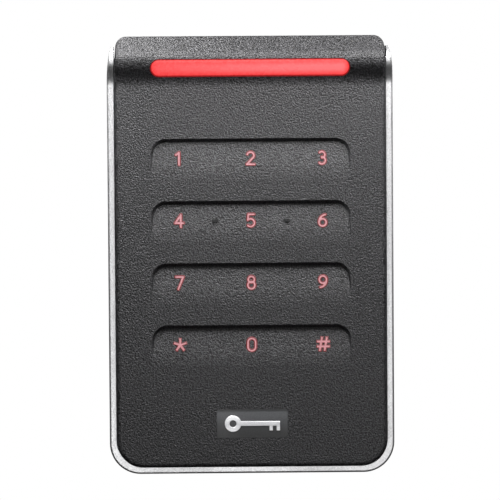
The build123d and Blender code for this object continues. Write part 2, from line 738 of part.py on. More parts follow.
# name: width, height, thickness, centre x, centre z; all on the back of the board
CHIPS = {
    "controller_chip": (9.0, 9.0, 1.0, -12.0, 8.0),
    "radio_front_end": (7.0, 7.0, 0.9, 3.0, 9.0),
    "secure_element": (5.0, 4.0, 0.8, 15.0, 8.0),
    "radio_module_can": (12.0, 16.0, 2.0, -12.0, 28.0),
    "voltage_regulator": (6.5, 6.1, 2.3, -14.0, -34.0),
    "power_inductor": (7.0, 7.0, 3.0, -3.5, -34.0),
    "clock_crystal": (3.2, 5.0, 1.2, -22.0, 8.0),
    "tamper_sensor": (4.4, 4.4, 1.2, 16.0, 26.0),
}
for name, (width, height, thickness, x, z) in CHIPS.items():
    keep(slab(width, height, (x, z), MAIN_BOARD_BACK - thickness, thickness, 0.3), name)

with BuildPart() as chip_capacitors:
    with BuildSketch(front(MAIN_BOARD_BACK - 0.8)):
        with GridLocations(3.2, 3.0, 5, 2):
            Rectangle(1.6, 0.8)
        with Locations((0, -9.2)):
            with GridLocations(4.0, 1.0, 8, 1):
                Rectangle(0.8, 1.6)
        with Locations((3.5, 24.0)):
            with GridLocations(3.0, 3.4, 2, 4):
                Rectangle(1.6, 0.8)
    extrude(amount=0.8)
keep(chip_capacitors, "chip_capacitors")

with BuildPart() as buzzer:
    with BuildSketch(front(MAIN_BOARD_BACK - BUZZER[1])):
        with Locations(BUZZER_PLACE):
            Circle(BUZZER[0])
    extrude(amount=BUZZER[1])
    with BuildSketch(front(MAIN_BOARD_BACK - BUZZER[1])):
        with Locations(BUZZER_PLACE):
            Circle(1.0)
    extrude(amount=1.0, mode=Mode.SUBTRACT)
keep(buzzer, "buzzer")

with BuildPart() as tamper_light_pipe:
    with BuildSketch(front(HOUSING_BACK + 0.2)):
        with Locations(CHIPS["tamper_sensor"][3:]):
            Circle(PIPE_R)
    extrude(amount=MAIN_BOARD_BACK - CHIPS["tamper_sensor"][2] - HOUSING_BACK - 0.2)
keep(tamper_light_pipe, "tamper_light_pipe")

# ---- terminals ------------------------------------------------------------------------------
pin_places = [((i - (TERMINALS - 1) / 2) * TERMINAL_PITCH, TERMINAL_Z) for i in range(TERMINALS)]
header_back = MAIN_BOARD_BACK - HEADER_HEIGHT
with BuildPart() as terminal_header:
    add(slab(*HEADER_SIZE, (0, TERMINAL_Z), header_back, HEADER_HEIGHT, 0.4).part)
    with BuildSketch(front(header_back)):
        with Locations((0, TERMINAL_Z)):
            RectangleRounded(*HEADER_ROOM, 0.3)
    extrude(amount=HEADER_HEIGHT - HEADER_FLOOR, mode=Mode.SUBTRACT)
    with BuildSketch(front(header_back)):
        with Locations(*pin_places):
            Rectangle(PIN, PIN)
    extrude(amount=HEADER_HEIGHT, mode=Mode.SUBTRACT)
keep(terminal_header, "terminal_header")
keep(blocks((PIN, PIN), pin_places, header_back + 0.3, HEADER_HEIGHT - 0.3), "terminal_pins")

plug_front = MAIN_BOARD_BACK - HEADER_FLOOR - 0.2
plug_shoulder = header_back - 0.2
with BuildPart() as terminal_plug:
    with BuildSketch(front(PLUG_BACK)):
        with Locations((0, TERMINAL_Z)):
            RectangleRounded(*PLUG_HEAD, 0.5)
    extrude(amount=plug_shoulder - PLUG_BACK)
    with BuildSketch(front(plug_shoulder)):
        with Locations((0, TERMINAL_Z)):
            RectangleRounded(*PLUG_TONGUE, 0.3)
    extrude(amount=plug_front - plug_shoulder)
    with BuildSketch(front(plug_front)):
        with Locations(*pin_places):
            Rectangle(SOCKET, SOCKET)
    extrude(amount=-(plug_front - header_back + 0.4), mode=Mode.SUBTRACT)
    with BuildSketch(front(PLUG_BACK)):
        with Locations(*[(x, z + CLAMP_OFFSET) for x, z in pin_places]):
            Circle(CLAMP_R)
    extrude(amount=1.6, mode=Mode.SUBTRACT)
    with BuildSketch(level(TERMINAL_Z - PLUG_HEAD[1] / 2)):
        with Locations(*[(x, -WIRE_HOLE_DEPTH) for x, z in pin_places]):
            Circle(WIRE_HOLE_R)
    extrude(amount=4.0, mode=Mode.SUBTRACT)
keep(terminal_plug, "terminal_plug")

with BuildPart() as terminal_screws:
    with BuildSketch(front(PLUG_BACK + 0.6)):
        with Locations(*[(x, z + CLAMP_OFFSET) for x, z in pin_places]):
            Circle(CLAMP_R - 0.03)
    extrude(amount=1.0)
    with BuildSketch(front(PLUG_BACK + 0.6)):
        with Locations(*[(x, z + CLAMP_OFFSET) for x, z in pin_places]):
            Rectangle(0.4, 3.0)
    extrude(amount=0.4, mode=Mode.SUBTRACT)
keep(terminal_screws, "terminal_screws")

# ---- rear housing, with its hooks, seal and lock catch ---------------------------------------
def housing_outline(inset=0.0):
    """Sketch of the rear housing: the cover's outline, cut off level below the hooks."""
    with BuildSketch(mode=Mode.PRIVATE) as outline:
        add(cover_outline(COVER_WALL + HOUSING_GAP + inset))
        with Locations((0, HOUSING_TOP_Z - inset)):
            Rectangle(2 * WIDTH, HEIGHT, align=(Align.CENTER, Align.MIN), mode=Mode.SUBTRACT)
    return outline.sketch


with BuildPart() as rear_housing:
    with BuildSketch(front(HOUSING_BACK)):
        add(housing_outline())
    extrude(amount=HOUSING_FRONT - HOUSING_BACK)
    with BuildSketch(front(HOUSING_BACK + HOUSING_WALL)):
        add(housing_outline(HOUSING_WALL))
    extrude(amount=DEPTH, mode=Mode.SUBTRACT)
    floor = HOUSING_BACK + HOUSING_WALL
    # standoffs, screw posts, terminal collar and the block around the lock pocket
    with BuildSketch(front(floor - 0.2)):
        with Locations(*STANDOFFS):
            Circle(STANDOFF_R)
    extrude(amount=MAIN_BOARD_BACK - floor + 0.2)
    with BuildSketch(front(floor - 0.2)):
        with Locations(*POST_PLACES):
            Circle(POST_R)
        with Locations((0, TERMINAL_Z)):
            Rectangle(TERMINAL_HOLE[0] + 2 * COLLAR, TERMINAL_HOLE[1] + 2 * COLLAR)
        with Locations((0, POCKET_TOP_Z + COLLAR)):
            Rectangle(2 * (POCKET_HALF_W + HOUSING_WALL), HEIGHT, align=(Align.CENTER, Align.MAX))
        add(housing_outline(), mode=Mode.INTERSECT)
    extrude(amount=HOUSING_FRONT - floor + 0.2 - COLLAR_SHY)
    with BuildSketch(front(0)):
        with Locations((0, TERMINAL_Z)):
            Rectangle(*TERMINAL_HOLE)
        with Locations((0, POCKET_TOP_Z)):
            Rectangle(2 * POCKET_HALF_W, HEIGHT, align=(Align.CENTER, Align.MAX))
    extrude(amount=POCKET_DEPTH, mode=Mode.SUBTRACT)
    with BuildSketch(front(0)):
        with Locations((0, TERMINAL_Z)):
            Rectangle(*TERMINAL_HOLE)
        with Locations(CHIPS["tamper_sensor"][3:]):
            Circle(PIPE_R + 0.05)
        with Locations(*POST_PLACES):
            Circle(COVER_SCREW_R + 0.1)
    extrude(amount=DEPTH, mode=Mode.SUBTRACT)
    with BuildSketch(front(HOUSING_BACK)):
        with Locations(*POST_PLACES):
            Circle(SCREW_SINK_R)
    extrude(amount=SCREW_SINK, mode=Mode.SUBTRACT)
    with BuildSketch(front(MAIN_BOARD_BACK)):
        with Locations(*STANDOFFS):
            Circle(BOARD_SCREW_R + 0.02)
    extrude(amount=-3.0, mode=Mode.SUBTRACT)
    # tongue that closes the room behind the light bar, above the hooks' foot
    with BuildSketch(front(TONGUE_BACK)):
        add(cover_outline(COVER_WALL + HOUSING_GAP))
        with Locations((0, HOUSING_TOP_Z - HOUSING_WALL)):
            Rectangle(2 * WIDTH, 2 * HEIGHT, align=(Align.CENTER, Align.MAX), mode=Mode.SUBTRACT)
    extrude(amount=HOUSING_FRONT - TONGUE_BACK)
    # hooks: each rests on its bar and is open downwards and backwards
    for side in (-1, 1):
        with BuildSketch(Plane.YZ.offset(side * HOOK_X - HOOK_WIDTH / 2)):
            with Locations((-HINGE_DEPTH, HINGE_Z)):
                Circle(HOOK_R)
            with Locations((-HINGE_DEPTH - HOOK_R, HOUSING_TOP_Z - 0.5)):
                Rectangle(HOOK_R, HINGE_Z - HOUSING_TOP_Z + 0.5, align=(Align.MIN, Align.MIN))
            with Locations((-HINGE_DEPTH, HINGE_Z)):
                Circle(HOOK_BORE_R, mode=Mode.SUBTRACT)
            with Locations((-HINGE_DEPTH - HOOK_BORE_R, HINGE_Z)):
                Rectangle(4 * HOOK_R, HINGE_Z - HOUSING_TOP_Z, align=(Align.MIN, Align.MAX),
                          mode=Mode.SUBTRACT)
        extrude(amount=HOOK_WIDTH)
keep(rear_housing, "rear_housing")

with BuildPart() as lock_catch:
    with BuildSketch(level(CATCH_Z)):
        with Locations((0, -(HOUSING_BACK + 0.4 + POCKET_DEPTH) / 2)):
            Rectangle(2 * POCKET_HALF_W, POCKET_DEPTH - HOUSING_BACK - 0.4)
        with Locations((0, -SCREW_DEPTH)):
            Circle(SCREW_R + 0.3, mode=Mode.SUBTRACT)
        with Locations((0, -SCREW_DEPTH)):
            Rectangle(2 * (SCREW_R + 0.3), SCREW_DEPTH, align=(Align.CENTER, Align.MIN), mode=Mode.SUBTRACT)
    extrude(amount=1.5)
keep(lock_catch, "lock_catch")

with BuildPart() as perimeter_seal:
    with BuildSketch(front(HOUSING_FRONT)):
        add(cover_outline(COVER_WALL + HOUSING_GAP))
        add(cover_outline(COVER_WALL + HOUSING_GAP + SEAL_WIDTH), mode=Mode.SUBTRACT)
    extrude(amount=LEDGE_DEPTH - HOUSING_FRONT)
keep(perimeter_seal, "perimeter_seal")


def screws(places, head_back, head_r, head_height, shank_r, length):
    """Equal pan-head screws with a cross slot, their heads towards the wall when length > 0."""
    with BuildPart() as group:
        with BuildSketch(front(head_back)):
            with Locations(*places):
                Circle(head_r)
        extrude(amount=head_height if length > 0 else -head_height)
        with BuildSketch(front(head_back)):
            with Locations(*places):
                Circle(shank_r)
        extrude(amount=length)
        with BuildSketch(front(head_back)):
            with Locations(*places):
                Rectangle(2 * shank_r, 0.4)
                Rectangle(0.4, 2 * shank_r)
        extrude(amount=0.5 if length > 0 else -0.5, mode=Mode.SUBTRACT)
    return group


cover_screw_head = HOUSING_BACK + SCREW_SINK - 1.2
keep(screws(POST_PLACES, cover_screw_head, SCREW_SINK_R - 0.1, 1.2, COVER_SCREW_R,
            HOUSING_FRONT + COVER_SCREW_REACH - 0.5 - cover_screw_head), "cover_screws")
board_screw_head = board_front + 0.9
keep(screws(STANDOFFS, board_screw_head, 1.7, 0.9, BOARD_SCREW_R, -(MAIN_BOARD + 0.9 + 2.6)),
     "board_screws")
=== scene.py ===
"""Keypad access reader: black touch keypad cover with a red light bar, on a silver wall plate."""

import math

import bpy
import bmesh
from mathutils import Matrix, Vector


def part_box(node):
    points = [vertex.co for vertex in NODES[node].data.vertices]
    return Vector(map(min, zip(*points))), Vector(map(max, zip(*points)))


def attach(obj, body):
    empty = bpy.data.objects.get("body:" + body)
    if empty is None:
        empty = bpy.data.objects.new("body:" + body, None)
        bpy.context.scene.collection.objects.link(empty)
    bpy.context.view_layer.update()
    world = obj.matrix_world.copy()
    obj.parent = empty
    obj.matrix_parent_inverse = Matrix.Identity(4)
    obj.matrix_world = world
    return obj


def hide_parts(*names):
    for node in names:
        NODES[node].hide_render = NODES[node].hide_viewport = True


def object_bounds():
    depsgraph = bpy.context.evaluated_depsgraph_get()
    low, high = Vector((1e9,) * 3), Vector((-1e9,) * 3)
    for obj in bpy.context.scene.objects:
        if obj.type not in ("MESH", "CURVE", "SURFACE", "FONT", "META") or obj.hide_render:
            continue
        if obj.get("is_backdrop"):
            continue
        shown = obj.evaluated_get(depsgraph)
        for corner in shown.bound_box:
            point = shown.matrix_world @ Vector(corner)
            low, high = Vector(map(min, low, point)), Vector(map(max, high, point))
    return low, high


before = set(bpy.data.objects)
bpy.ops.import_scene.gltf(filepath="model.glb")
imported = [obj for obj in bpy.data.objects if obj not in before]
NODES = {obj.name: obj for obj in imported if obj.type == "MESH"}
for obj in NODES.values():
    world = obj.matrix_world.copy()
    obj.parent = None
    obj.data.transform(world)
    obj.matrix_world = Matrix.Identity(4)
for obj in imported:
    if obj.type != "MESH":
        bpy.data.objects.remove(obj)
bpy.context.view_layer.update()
KEYS = [name for name in NODES if name.startswith("legend_")]
MM = 0.001


# ---- small helpers ------------------------------------------------------------------------
def new_material(name):
    """Empty material with a Principled shader; returns the material and its shader node."""
    material = bpy.data.materials.new(name)
    material.use_nodes = True
    nodes = material.node_tree.nodes
    return material, nodes["Principled BSDF"]


def add_node(tree, kind, **settings):
    """New node with its settings and its unlinked input values."""
    node = tree.nodes.new(kind)
    for key, value in settings.items():
        label = key.replace("_", " ")
        if label in node.inputs:
            node.inputs[label].default_value = value
        else:
            setattr(node, key, value)
    return node


def calculate(tree, operation, first, second=0.0, clamp=False):
    """Math node; each of the two terms is a socket or a number."""
    node = tree.nodes.new("ShaderNodeMath")
    node.operation = operation
    node.use_clamp = clamp
    for slot, term in enumerate((first, second)):
        if isinstance(term, (int, float)):
            node.inputs[slot].default_value = term
        else:
            tree.links.new(term, node.inputs[slot])
    return node.outputs[0]


def vector_math(tree, operation, first, second=None):
    """Vector math node; the second term is a socket or a fixed vector."""
    node = add_node(tree, "ShaderNodeVectorMath", operation=operation)
    tree.links.new(first, node.inputs[0])
    other = node.inputs["Scale"] if operation == "SCALE" else node.inputs[1]
    if isinstance(second, tuple):
        other.default_value = second
    elif second is not None:
        tree.links.new(second, other)
    return node.outputs[0]


def stretch(tree, value, low, high, to_low=0.0, to_high=1.0):
    """Maps a value's range onto another, clamped, with soft ends."""
    node = add_node(tree, "ShaderNodeMapRange", interpolation_type="SMOOTHSTEP")
    tree.links.new(value, node.inputs["Value"])
    labels = ("From Min", "From Max", "To Min", "To Max")
    for label, bound in zip(labels, (low, high, to_low, to_high)):
        node.inputs[label].default_value = bound
    return node.outputs[0]


def wear(node_name, material):
    """Gives a CAD node its finished material."""
    mesh = NODES[node_name].data
    mesh.materials.clear()
    mesh.materials.append(material)


# ---- shader node groups -------------------------------------------------------------------
def new_group(name, inputs, outputs):
    """Shader group with named inputs (name, kind, value) and outputs (name, kind)."""
    group = bpy.data.node_groups.new(name, "ShaderNodeTree")
    for label, kind, value in inputs:
        socket = group.interface.new_socket(label, in_out="INPUT", socket_type="NodeSocket" + kind)
        socket.default_value = value
    for label, kind in outputs:
        group.interface.new_socket(label, in_out="OUTPUT", socket_type="NodeSocket" + kind)
    start = group.nodes.new("NodeGroupInput")
    end = group.nodes.new("NodeGroupOutput")
    return group, start, end


def object_place(group):
    """Place on the object in its own coordinates."""
    return group.nodes.new("ShaderNodeTexCoord").outputs["Object"]


def spark_grain_group():
    """Pebbled grain of a spark-eroded mould: a height, and a speckle of light and dark grains."""
    group, start, end = new_group(
        "spark_grain",
        [("Grain Size", "Float", 0.35 * MM)],
        [("Height", "Float"), ("Speckle", "Float")],
    )
    links = group.links
    place = object_place(group)
    density = calculate(group, "DIVIDE", 1.0, start.outputs["Grain Size"])
    grains = add_node(group, "ShaderNodeTexNoise", Detail=2.0, Roughness=0.6)
    pebbles = add_node(group, "ShaderNodeTexVoronoi", feature="SMOOTH_F1", Smoothness=0.5)
    for texture in (grains, pebbles):
        links.new(place, texture.inputs["Vector"])
        links.new(density, texture.inputs["Scale"])
    half_pebble = calculate(group, "MULTIPLY", pebbles.outputs["Distance"], 0.5)
    links.new(calculate(group, "SUBTRACT", grains.outputs["Fac"], half_pebble), end.inputs["Height"])
    links.new(stretch(group, grains.outputs["Fac"], 0.38, 0.62), end.inputs["Speckle"])
    return group


def flake_group():
    """Metal flakes in paint: every flake has its own brightness and its own slight tilt."""
    group, start, end = new_group(
        "metal_flakes",
        [("Flake Size", "Float", 0.2 * MM), ("Tilt", "Float", 0.2)],
        [("Flake", "Float"), ("Normal", "Vector")],
    )
    links = group.links
    density = calculate(group, "DIVIDE", 1.0, start.outputs["Flake Size"])
    cells = add_node(group, "ShaderNodeTexVoronoi", feature="F1")
    links.new(object_place(group), cells.inputs["Vector"])
    links.new(density, cells.inputs["Scale"])
    split = group.nodes.new("ShaderNodeSeparateColor")
    links.new(cells.outputs["Color"], split.inputs[0])
    links.new(split.outputs[0], end.inputs["Flake"])
    lean = vector_math(group, "SUBTRACT", cells.outputs["Color"], (0.5, 0.5, 0.5))
    lean = vector_math(group, "SCALE", lean, start.outputs["Tilt"])
    surface = group.nodes.new("ShaderNodeNewGeometry")
    tilted = vector_math(group, "ADD", surface.outputs["Normal"], lean)
    links.new(vector_math(group, "NORMALIZE", tilted), end.inputs["Normal"])
    return group


def brushed_group():
    """Fine drawn or turned lines along one direction."""
    group, start, end = new_group(
        "drawn_lines",
        [("Stretch", "Vector", (1.0, 1.0, 30.0)), ("Line Density", "Float", 300.0)],
        [("Height", "Float"), ("Streak", "Float")],
    )
    links = group.links
    squeezed = vector_math(group, "MULTIPLY", object_place(group), start.outputs["Stretch"])
    lines = add_node(group, "ShaderNodeTexNoise", Detail=5.0, Roughness=0.7)
    links.new(squeezed, lines.inputs["Vector"])
    links.new(start.outputs["Line Density"], lines.inputs["Scale"])
    links.new(lines.outputs["Fac"], end.inputs["Height"])
    links.new(stretch(group, lines.outputs["Fac"], 0.3, 0.7), end.inputs["Streak"])
    return group


def handling_group():
    """Soft smudges of handling, and dust specks that lie thickest on what faces up."""
    group, start, end = new_group(
        "handling", [("Dust Amount", "Float", 0.5)], [("Smudge", "Float"), ("Dust", "Float")]
    )
    links = group.links
    place = object_place(group)
    smudges = add_node(group, "ShaderNodeTexNoise", Scale=45.0, Detail=4.0, Distortion=0.6)
    specks = add_node(group, "ShaderNodeTexNoise", Scale=2600.0, Detail=1.0)
    for texture in (smudges, specks):
        links.new(place, texture.inputs["Vector"])
    links.new(stretch(group, smudges.outputs["Fac"], 0.35, 0.7), end.inputs["Smudge"])
    surface = group.nodes.new("ShaderNodeNewGeometry")
    split = group.nodes.new("ShaderNodeSeparateXYZ")
    links.new(surface.outputs["Normal"], split.inputs[0])
    upward = stretch(group, split.outputs["Z"], -0.1, 1.0, 0.15, 1.0)
    dusty = calculate(group, "MULTIPLY", stretch(group, specks.outputs["Fac"], 0.68, 0.76), upward)
    links.new(calculate(group, "MULTIPLY", dusty, start.outputs["Dust Amount"]), end.inputs["Dust"])
    return group


def round_bar_group():
    """How near a point is to the rim of a round-ended bar, and how far along the bar it is."""
    group, start, end = new_group(
        "round_bar",
        [(label, "Float", 1.0) for label in ("Centre Height", "Half Length", "Half Height")],
        [("Rim", "Float"), ("Along", "Float"), ("Rise", "Float")],
    )
    links = group.links
    split = group.nodes.new("ShaderNodeSeparateXYZ")
    links.new(object_place(group), split.inputs[0])
    across, height = split.outputs["X"], split.outputs["Z"]
    half_length, half_height = start.outputs["Half Length"], start.outputs["Half Height"]
    straight = calculate(group, "SUBTRACT", half_length, half_height)
    past_end = calculate(group, "SUBTRACT", calculate(group, "ABSOLUTE", across), straight)
    past_end = calculate(group, "MAXIMUM", past_end, 0.0)
    rise = calculate(group, "SUBTRACT", height, start.outputs["Centre Height"])
    squares = [calculate(group, "MULTIPLY", side, side) for side in (past_end, rise)]
    distance = calculate(group, "SQRT", calculate(group, "ADD", *squares))
    for part, whole, label in (
        (distance, half_height, "Rim"), (across, half_length, "Along"), (rise, half_height, "Rise"),
    ):
        links.new(calculate(group, "DIVIDE", part, whole), end.inputs[label])
    return group


SPARK_GRAIN = spark_grain_group()
FLAKES = flake_group()
DRAWN_LINES = brushed_group()
HANDLING = handling_group()
ROUND_BAR = round_bar_group()


# ---- materials ----------------------------------------------------------------------------
def place_group(material, group, **values):
    """Puts a shader group into a material with its own values."""
    node = material.node_tree.nodes.new("ShaderNodeGroup")
    node.node_tree = group
    for label, value in values.items():
        node.inputs[label.replace("_", " ")].default_value = value
    return node


def tones(material, factor, *stops):
    """Colour ramp driven by a factor; each stop is its position and its colour."""
    ramp = material.node_tree.nodes.new("ShaderNodeValToRGB")
    while len(ramp.color_ramp.elements) < len(stops):
        ramp.color_ramp.elements.new(0.5)
    for element, (position, colour) in zip(ramp.color_ramp.elements, stops):
        element.position = position
        element.color = (*colour, 1)
    material.node_tree.links.new(factor, ramp.inputs["Fac"])
    return ramp.outputs["Color"]


def mix_tones(material, factor, first, second):
    """Mixes a colour socket with a fixed colour."""
    mix = add_node(material.node_tree, "ShaderNodeMix", data_type="RGBA")
    material.node_tree.links.new(factor, mix.inputs["Factor"])
    material.node_tree.links.new(first, mix.inputs[6])
    mix.inputs[7].default_value = (*second, 1)
    return mix.outputs[2]


def bar_over(material, box):
    """Round bar group laid over a box given by its low and high corners."""
    low, high = box
    return place_group(
        material, ROUND_BAR, Centre_Height=(low.z + high.z) / 2,
        Half_Length=(high.x - low.x) / 2, Half_Height=(high.z - low.z) / 2,
    )


def bump_from(material, shader, height, distance):
    """Bump node that feeds the shader's Normal."""
    bump = add_node(material.node_tree, "ShaderNodeBump", Strength=1.0, Distance=distance)
    material.node_tree.links.new(height, bump.inputs["Height"])
    material.node_tree.links.new(bump.outputs["Normal"], shader.inputs["Normal"])


DUST_GREY = (0.35, 0.33, 0.3)


def handle(material, shader, colour, roughness, dust):
    """Adds dust and smudges: colour goes to the shader, roughness is its smudged range."""
    links = material.node_tree.links
    marks = place_group(material, HANDLING, Dust_Amount=dust)
    dusty = mix_tones(material, marks.outputs["Dust"], colour, DUST_GREY)
    smudged = stretch(material.node_tree, marks.outputs["Smudge"], 0, 1, *roughness)
    links.new(dusty, shader.inputs["Base Color"])
    links.new(smudged, shader.inputs["Roughness"])


def moulded(name, dark, light, roughness, grain_size=0.3 * MM, grain_depth=0.02 * MM, dust=0.3):
    """Moulded plastic or rubber with a spark-eroded grain."""
    material, shader = new_material(name)
    grain = place_group(material, SPARK_GRAIN, Grain_Size=grain_size)
    colour = tones(material, grain.outputs["Speckle"], (0.0, dark), (1.0, light))
    handle(material, shader, colour, roughness, dust)
    bump_from(material, shader, grain.outputs["Height"], grain_depth)
    return material


def drawn_metal(name, dark, light, roughness, line_stretch, line_depth=0.004 * MM, metallic=1.0):
    """Bare metal with drawn, stamped or turned lines."""
    material, shader = new_material(name)
    lines = place_group(material, DRAWN_LINES, Stretch=line_stretch)
    colour = tones(material, lines.outputs["Streak"], (0.0, dark), (1.0, light))
    handle(material, shader, colour, roughness, 0.1)
    shader.inputs["Metallic"].default_value = metallic
    bump_from(material, shader, lines.outputs["Height"], line_depth)
    return material


def flake_paint(name, dark, light, roughness, metallic, flake_size=0.3 * MM, tilt=0.12, dust=0.2):
    """Silver paint with metal flakes under a satin lacquer."""
    material, shader = new_material(name)
    flakes = place_group(material, FLAKES, Flake_Size=flake_size, Tilt=tilt)
    colour = tones(material, flakes.outputs["Flake"], (0.0, dark), (1.0, light))
    handle(material, shader, colour, roughness, dust)
    shader.inputs["Metallic"].default_value = metallic
    material.node_tree.links.new(flakes.outputs["Normal"], shader.inputs["Normal"])
    shader.inputs["Coat Weight"].default_value = 0.25
    shader.inputs["Coat Roughness"].default_value = 0.3
    return material


def lens_material(name, box, deep, middle, hot, strength):
    """Diffusing plastic lit from behind: deep colour at its rim, a hot band along its middle."""
    material, shader = new_material(name)
    tree = material.node_tree
    bar = bar_over(material, box)
    grain = place_group(material, SPARK_GRAIN, Grain_Size=0.9 * MM)
    towards_right = stretch(tree, bar.outputs["Along"], -1.2, 0.6, 0.3, 1.0)
    inside = stretch(tree, bar.outputs["Rim"], 1.0, 0.82, 0.0, 0.5)
    core = stretch(tree, bar.outputs["Rim"], 0.95, 0.1, 0.0, 0.5)
    heat = calculate(tree, "ADD", inside, calculate(tree, "MULTIPLY", core, towards_right))
    ripple = calculate(tree, "MULTIPLY", grain.outputs["Speckle"], 0.04)
    heat = calculate(tree, "ADD", heat, ripple)
    glow = tones(material, heat, (0.0, deep), (0.5, middle), (1.0, hot))
    tree.links.new(glow, shader.inputs["Emission Color"])
    shader.inputs["Emission Strength"].default_value = strength
    unlit = ((0.0, (0.2, 0.01, 0.01)), (1.0, (0.28, 0.02, 0.02)))
    colour = tones(material, grain.outputs["Speckle"], *unlit)
    handle(material, shader, colour, (0.24, 0.38), 0.3)
    bump_from(material, shader, grain.outputs["Height"], 0.01 * MM)
    return material


def lit_plastic(name, colour, glow, strength, roughness=(0.3, 0.45)):
    """Small translucent plastic part lit from behind."""
    material, shader = new_material(name)
    tree = material.node_tree
    grain = place_group(material, SPARK_GRAIN, Grain_Size=0.45 * MM)
    tone, light = (
        tones(material, grain.outputs["Speckle"], (0.0, tuple(c * dim for c in full)), (1.0, full))
        for full, dim in ((colour, 0.8), (glow, 0.82))
    )
    handle(material, shader, tone, roughness, 0.1)
    tree.links.new(light, shader.inputs["Emission Color"])
    shader.inputs["Emission Strength"].default_value = strength
    return material


def light_painted_plate(name, box, stops, roughness, metallic, grain_size, grain_depth, dust=0.2):
    """Small plate with painted light and shade: its tone changes from its bottom to its top."""
    material, shader = new_material(name)
    tree = material.node_tree
    bar = bar_over(material, box)
    grain = place_group(material, SPARK_GRAIN, Grain_Size=grain_size)
    # painted light and shade: the point's height on the plate sets its tone
    rise = stretch(tree, bar.outputs["Rise"], -1.0, 1.0, 0.04, 0.9)
    ripple = calculate(tree, "MULTIPLY", grain.outputs["Speckle"], 0.1)
    colour = tones(material, calculate(tree, "ADD", rise, ripple), *stops)
    handle(material, shader, colour, roughness, dust)
    shader.inputs["Metallic"].default_value = metallic
    bump_from(material, shader, grain.outputs["Height"], grain_depth)
    return material


# plastics and rubber: dark and light tones, range of roughness, then the size and depth of grain
COVER_BLACK = moulded(
    "cover_black", (0.0008, 0.0008, 0.001), (0.042, 0.041, 0.044), (0.46, 0.52),
    grain_size=0.44 * MM, grain_depth=0.26 * MM,
)
HOUSING_BLACK = moulded(
    "housing_black", (0.012, 0.012, 0.013), (0.03, 0.03, 0.032), (0.55, 0.7), 0.3 * MM, 0.05 * MM
)
SEAL_RUBBER = moulded(
    "seal_rubber", (0.01, 0.01, 0.01), (0.02, 0.02, 0.02), (0.75, 0.9), 0.2 * MM, 0.01 * MM
)
DASH_BLACK = moulded(
    "dash_black", (0.004, 0.004, 0.004), (0.014, 0.014, 0.015), (0.3, 0.4), 0.5 * MM, 0.004 * MM, 0.1
)
CONNECTOR_BLACK = moulded(
    "connector_black", (0.012, 0.012, 0.012), (0.022, 0.022, 0.022), (0.4, 0.55), 0.15 * MM, 0.01 * MM
)
CHIP_BLACK = moulded(
    "chip_black", (0.014, 0.014, 0.015), (0.028, 0.028, 0.03), (0.5, 0.65), 0.12 * MM, 0.012 * MM
)
CHIP_MARK = moulded(
    "chip_mark", (0.1, 0.1, 0.1), (0.16, 0.16, 0.16), (0.6, 0.7), 0.1 * MM, 0.004 * MM
)
WHITE_GUIDE = moulded(
    "white_guide", (0.7, 0.7, 0.68), (0.82, 0.82, 0.8), (0.35, 0.5), 0.4 * MM, 0.01 * MM
)
BOARD_GREEN = moulded(
    "board_green", (0.008, 0.09, 0.035), (0.015, 0.14, 0.055), (0.22, 0.34), 0.5 * MM, 0.01 * MM
)
TRACK_GREEN = moulded(
    "track_green", (0.02, 0.17, 0.07), (0.03, 0.22, 0.09), (0.2, 0.32), 0.3 * MM, 0.006 * MM
)
TERMINAL_GREEN = moulded(
    "terminal_green", (0.015, 0.2, 0.07), (0.03, 0.27, 0.1), (0.35, 0.5), 0.25 * MM, 0.02 * MM
)
CAPACITOR_TAN = moulded(
    "capacitor_tan", (0.42, 0.3, 0.18), (0.56, 0.42, 0.27), (0.35, 0.45), 0.15 * MM, 0.006 * MM
)
TAPE_AMBER = moulded(
    "tape_amber", (0.55, 0.26, 0.03), (0.68, 0.36, 0.06), (0.15, 0.3), 0.6 * MM, 0.01 * MM
)
# metals: the same, but after the roughness comes how finely their lines lie along X, Y and Z
COPPER_WIRE = drawn_metal("copper_wire", (0.6, 0.23, 0.1), (0.85, 0.4, 0.2), (0.22, 0.36), (6, 6, 6))
GOLD_TRACK = drawn_metal("gold_track", (0.75, 0.5, 0.18), (0.9, 0.66, 0.3), (0.25, 0.4), (8, 8, 8))
SOLDER = drawn_metal(
    "solder", (0.5, 0.5, 0.52), (0.75, 0.75, 0.76), (0.2, 0.4), (3, 3, 3), line_depth=0.02 * MM
)
STEEL = drawn_metal("steel", (0.42, 0.42, 0.43), (0.68, 0.68, 0.7), (0.26, 0.42), (30, 2, 2))
TIN_CAN = drawn_metal("tin_can", (0.55, 0.55, 0.53), (0.72, 0.72, 0.7), (0.3, 0.42), (2, 2, 24))
SILVER = flake_paint(
    "silver_paint", (0.72, 0.72, 0.73), (0.9, 0.9, 0.91), (0.36, 0.44), metallic=0.9, tilt=0.1
)
FERRITE = flake_paint(
    "ferrite", (0.05, 0.05, 0.055), (0.13, 0.13, 0.14), (0.5, 0.65),
    metallic=0.3, flake_size=0.12 * MM, tilt=0.25,
)
LENS_FLANGE = Vector((1.5, 0, 1.4)) * MM  # hidden round the lens, inside the cover
lens_low, lens_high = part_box("light_bar_lens")
LENS_RED = lens_material(
    "lens_red", (lens_low + LENS_FLANGE, lens_high - LENS_FLANGE),
    deep=(0.2, 0.003, 0.005), middle=(0.86, 0.05, 0.052), hot=(1.0, 0.19, 0.2), strength=1.0,
)
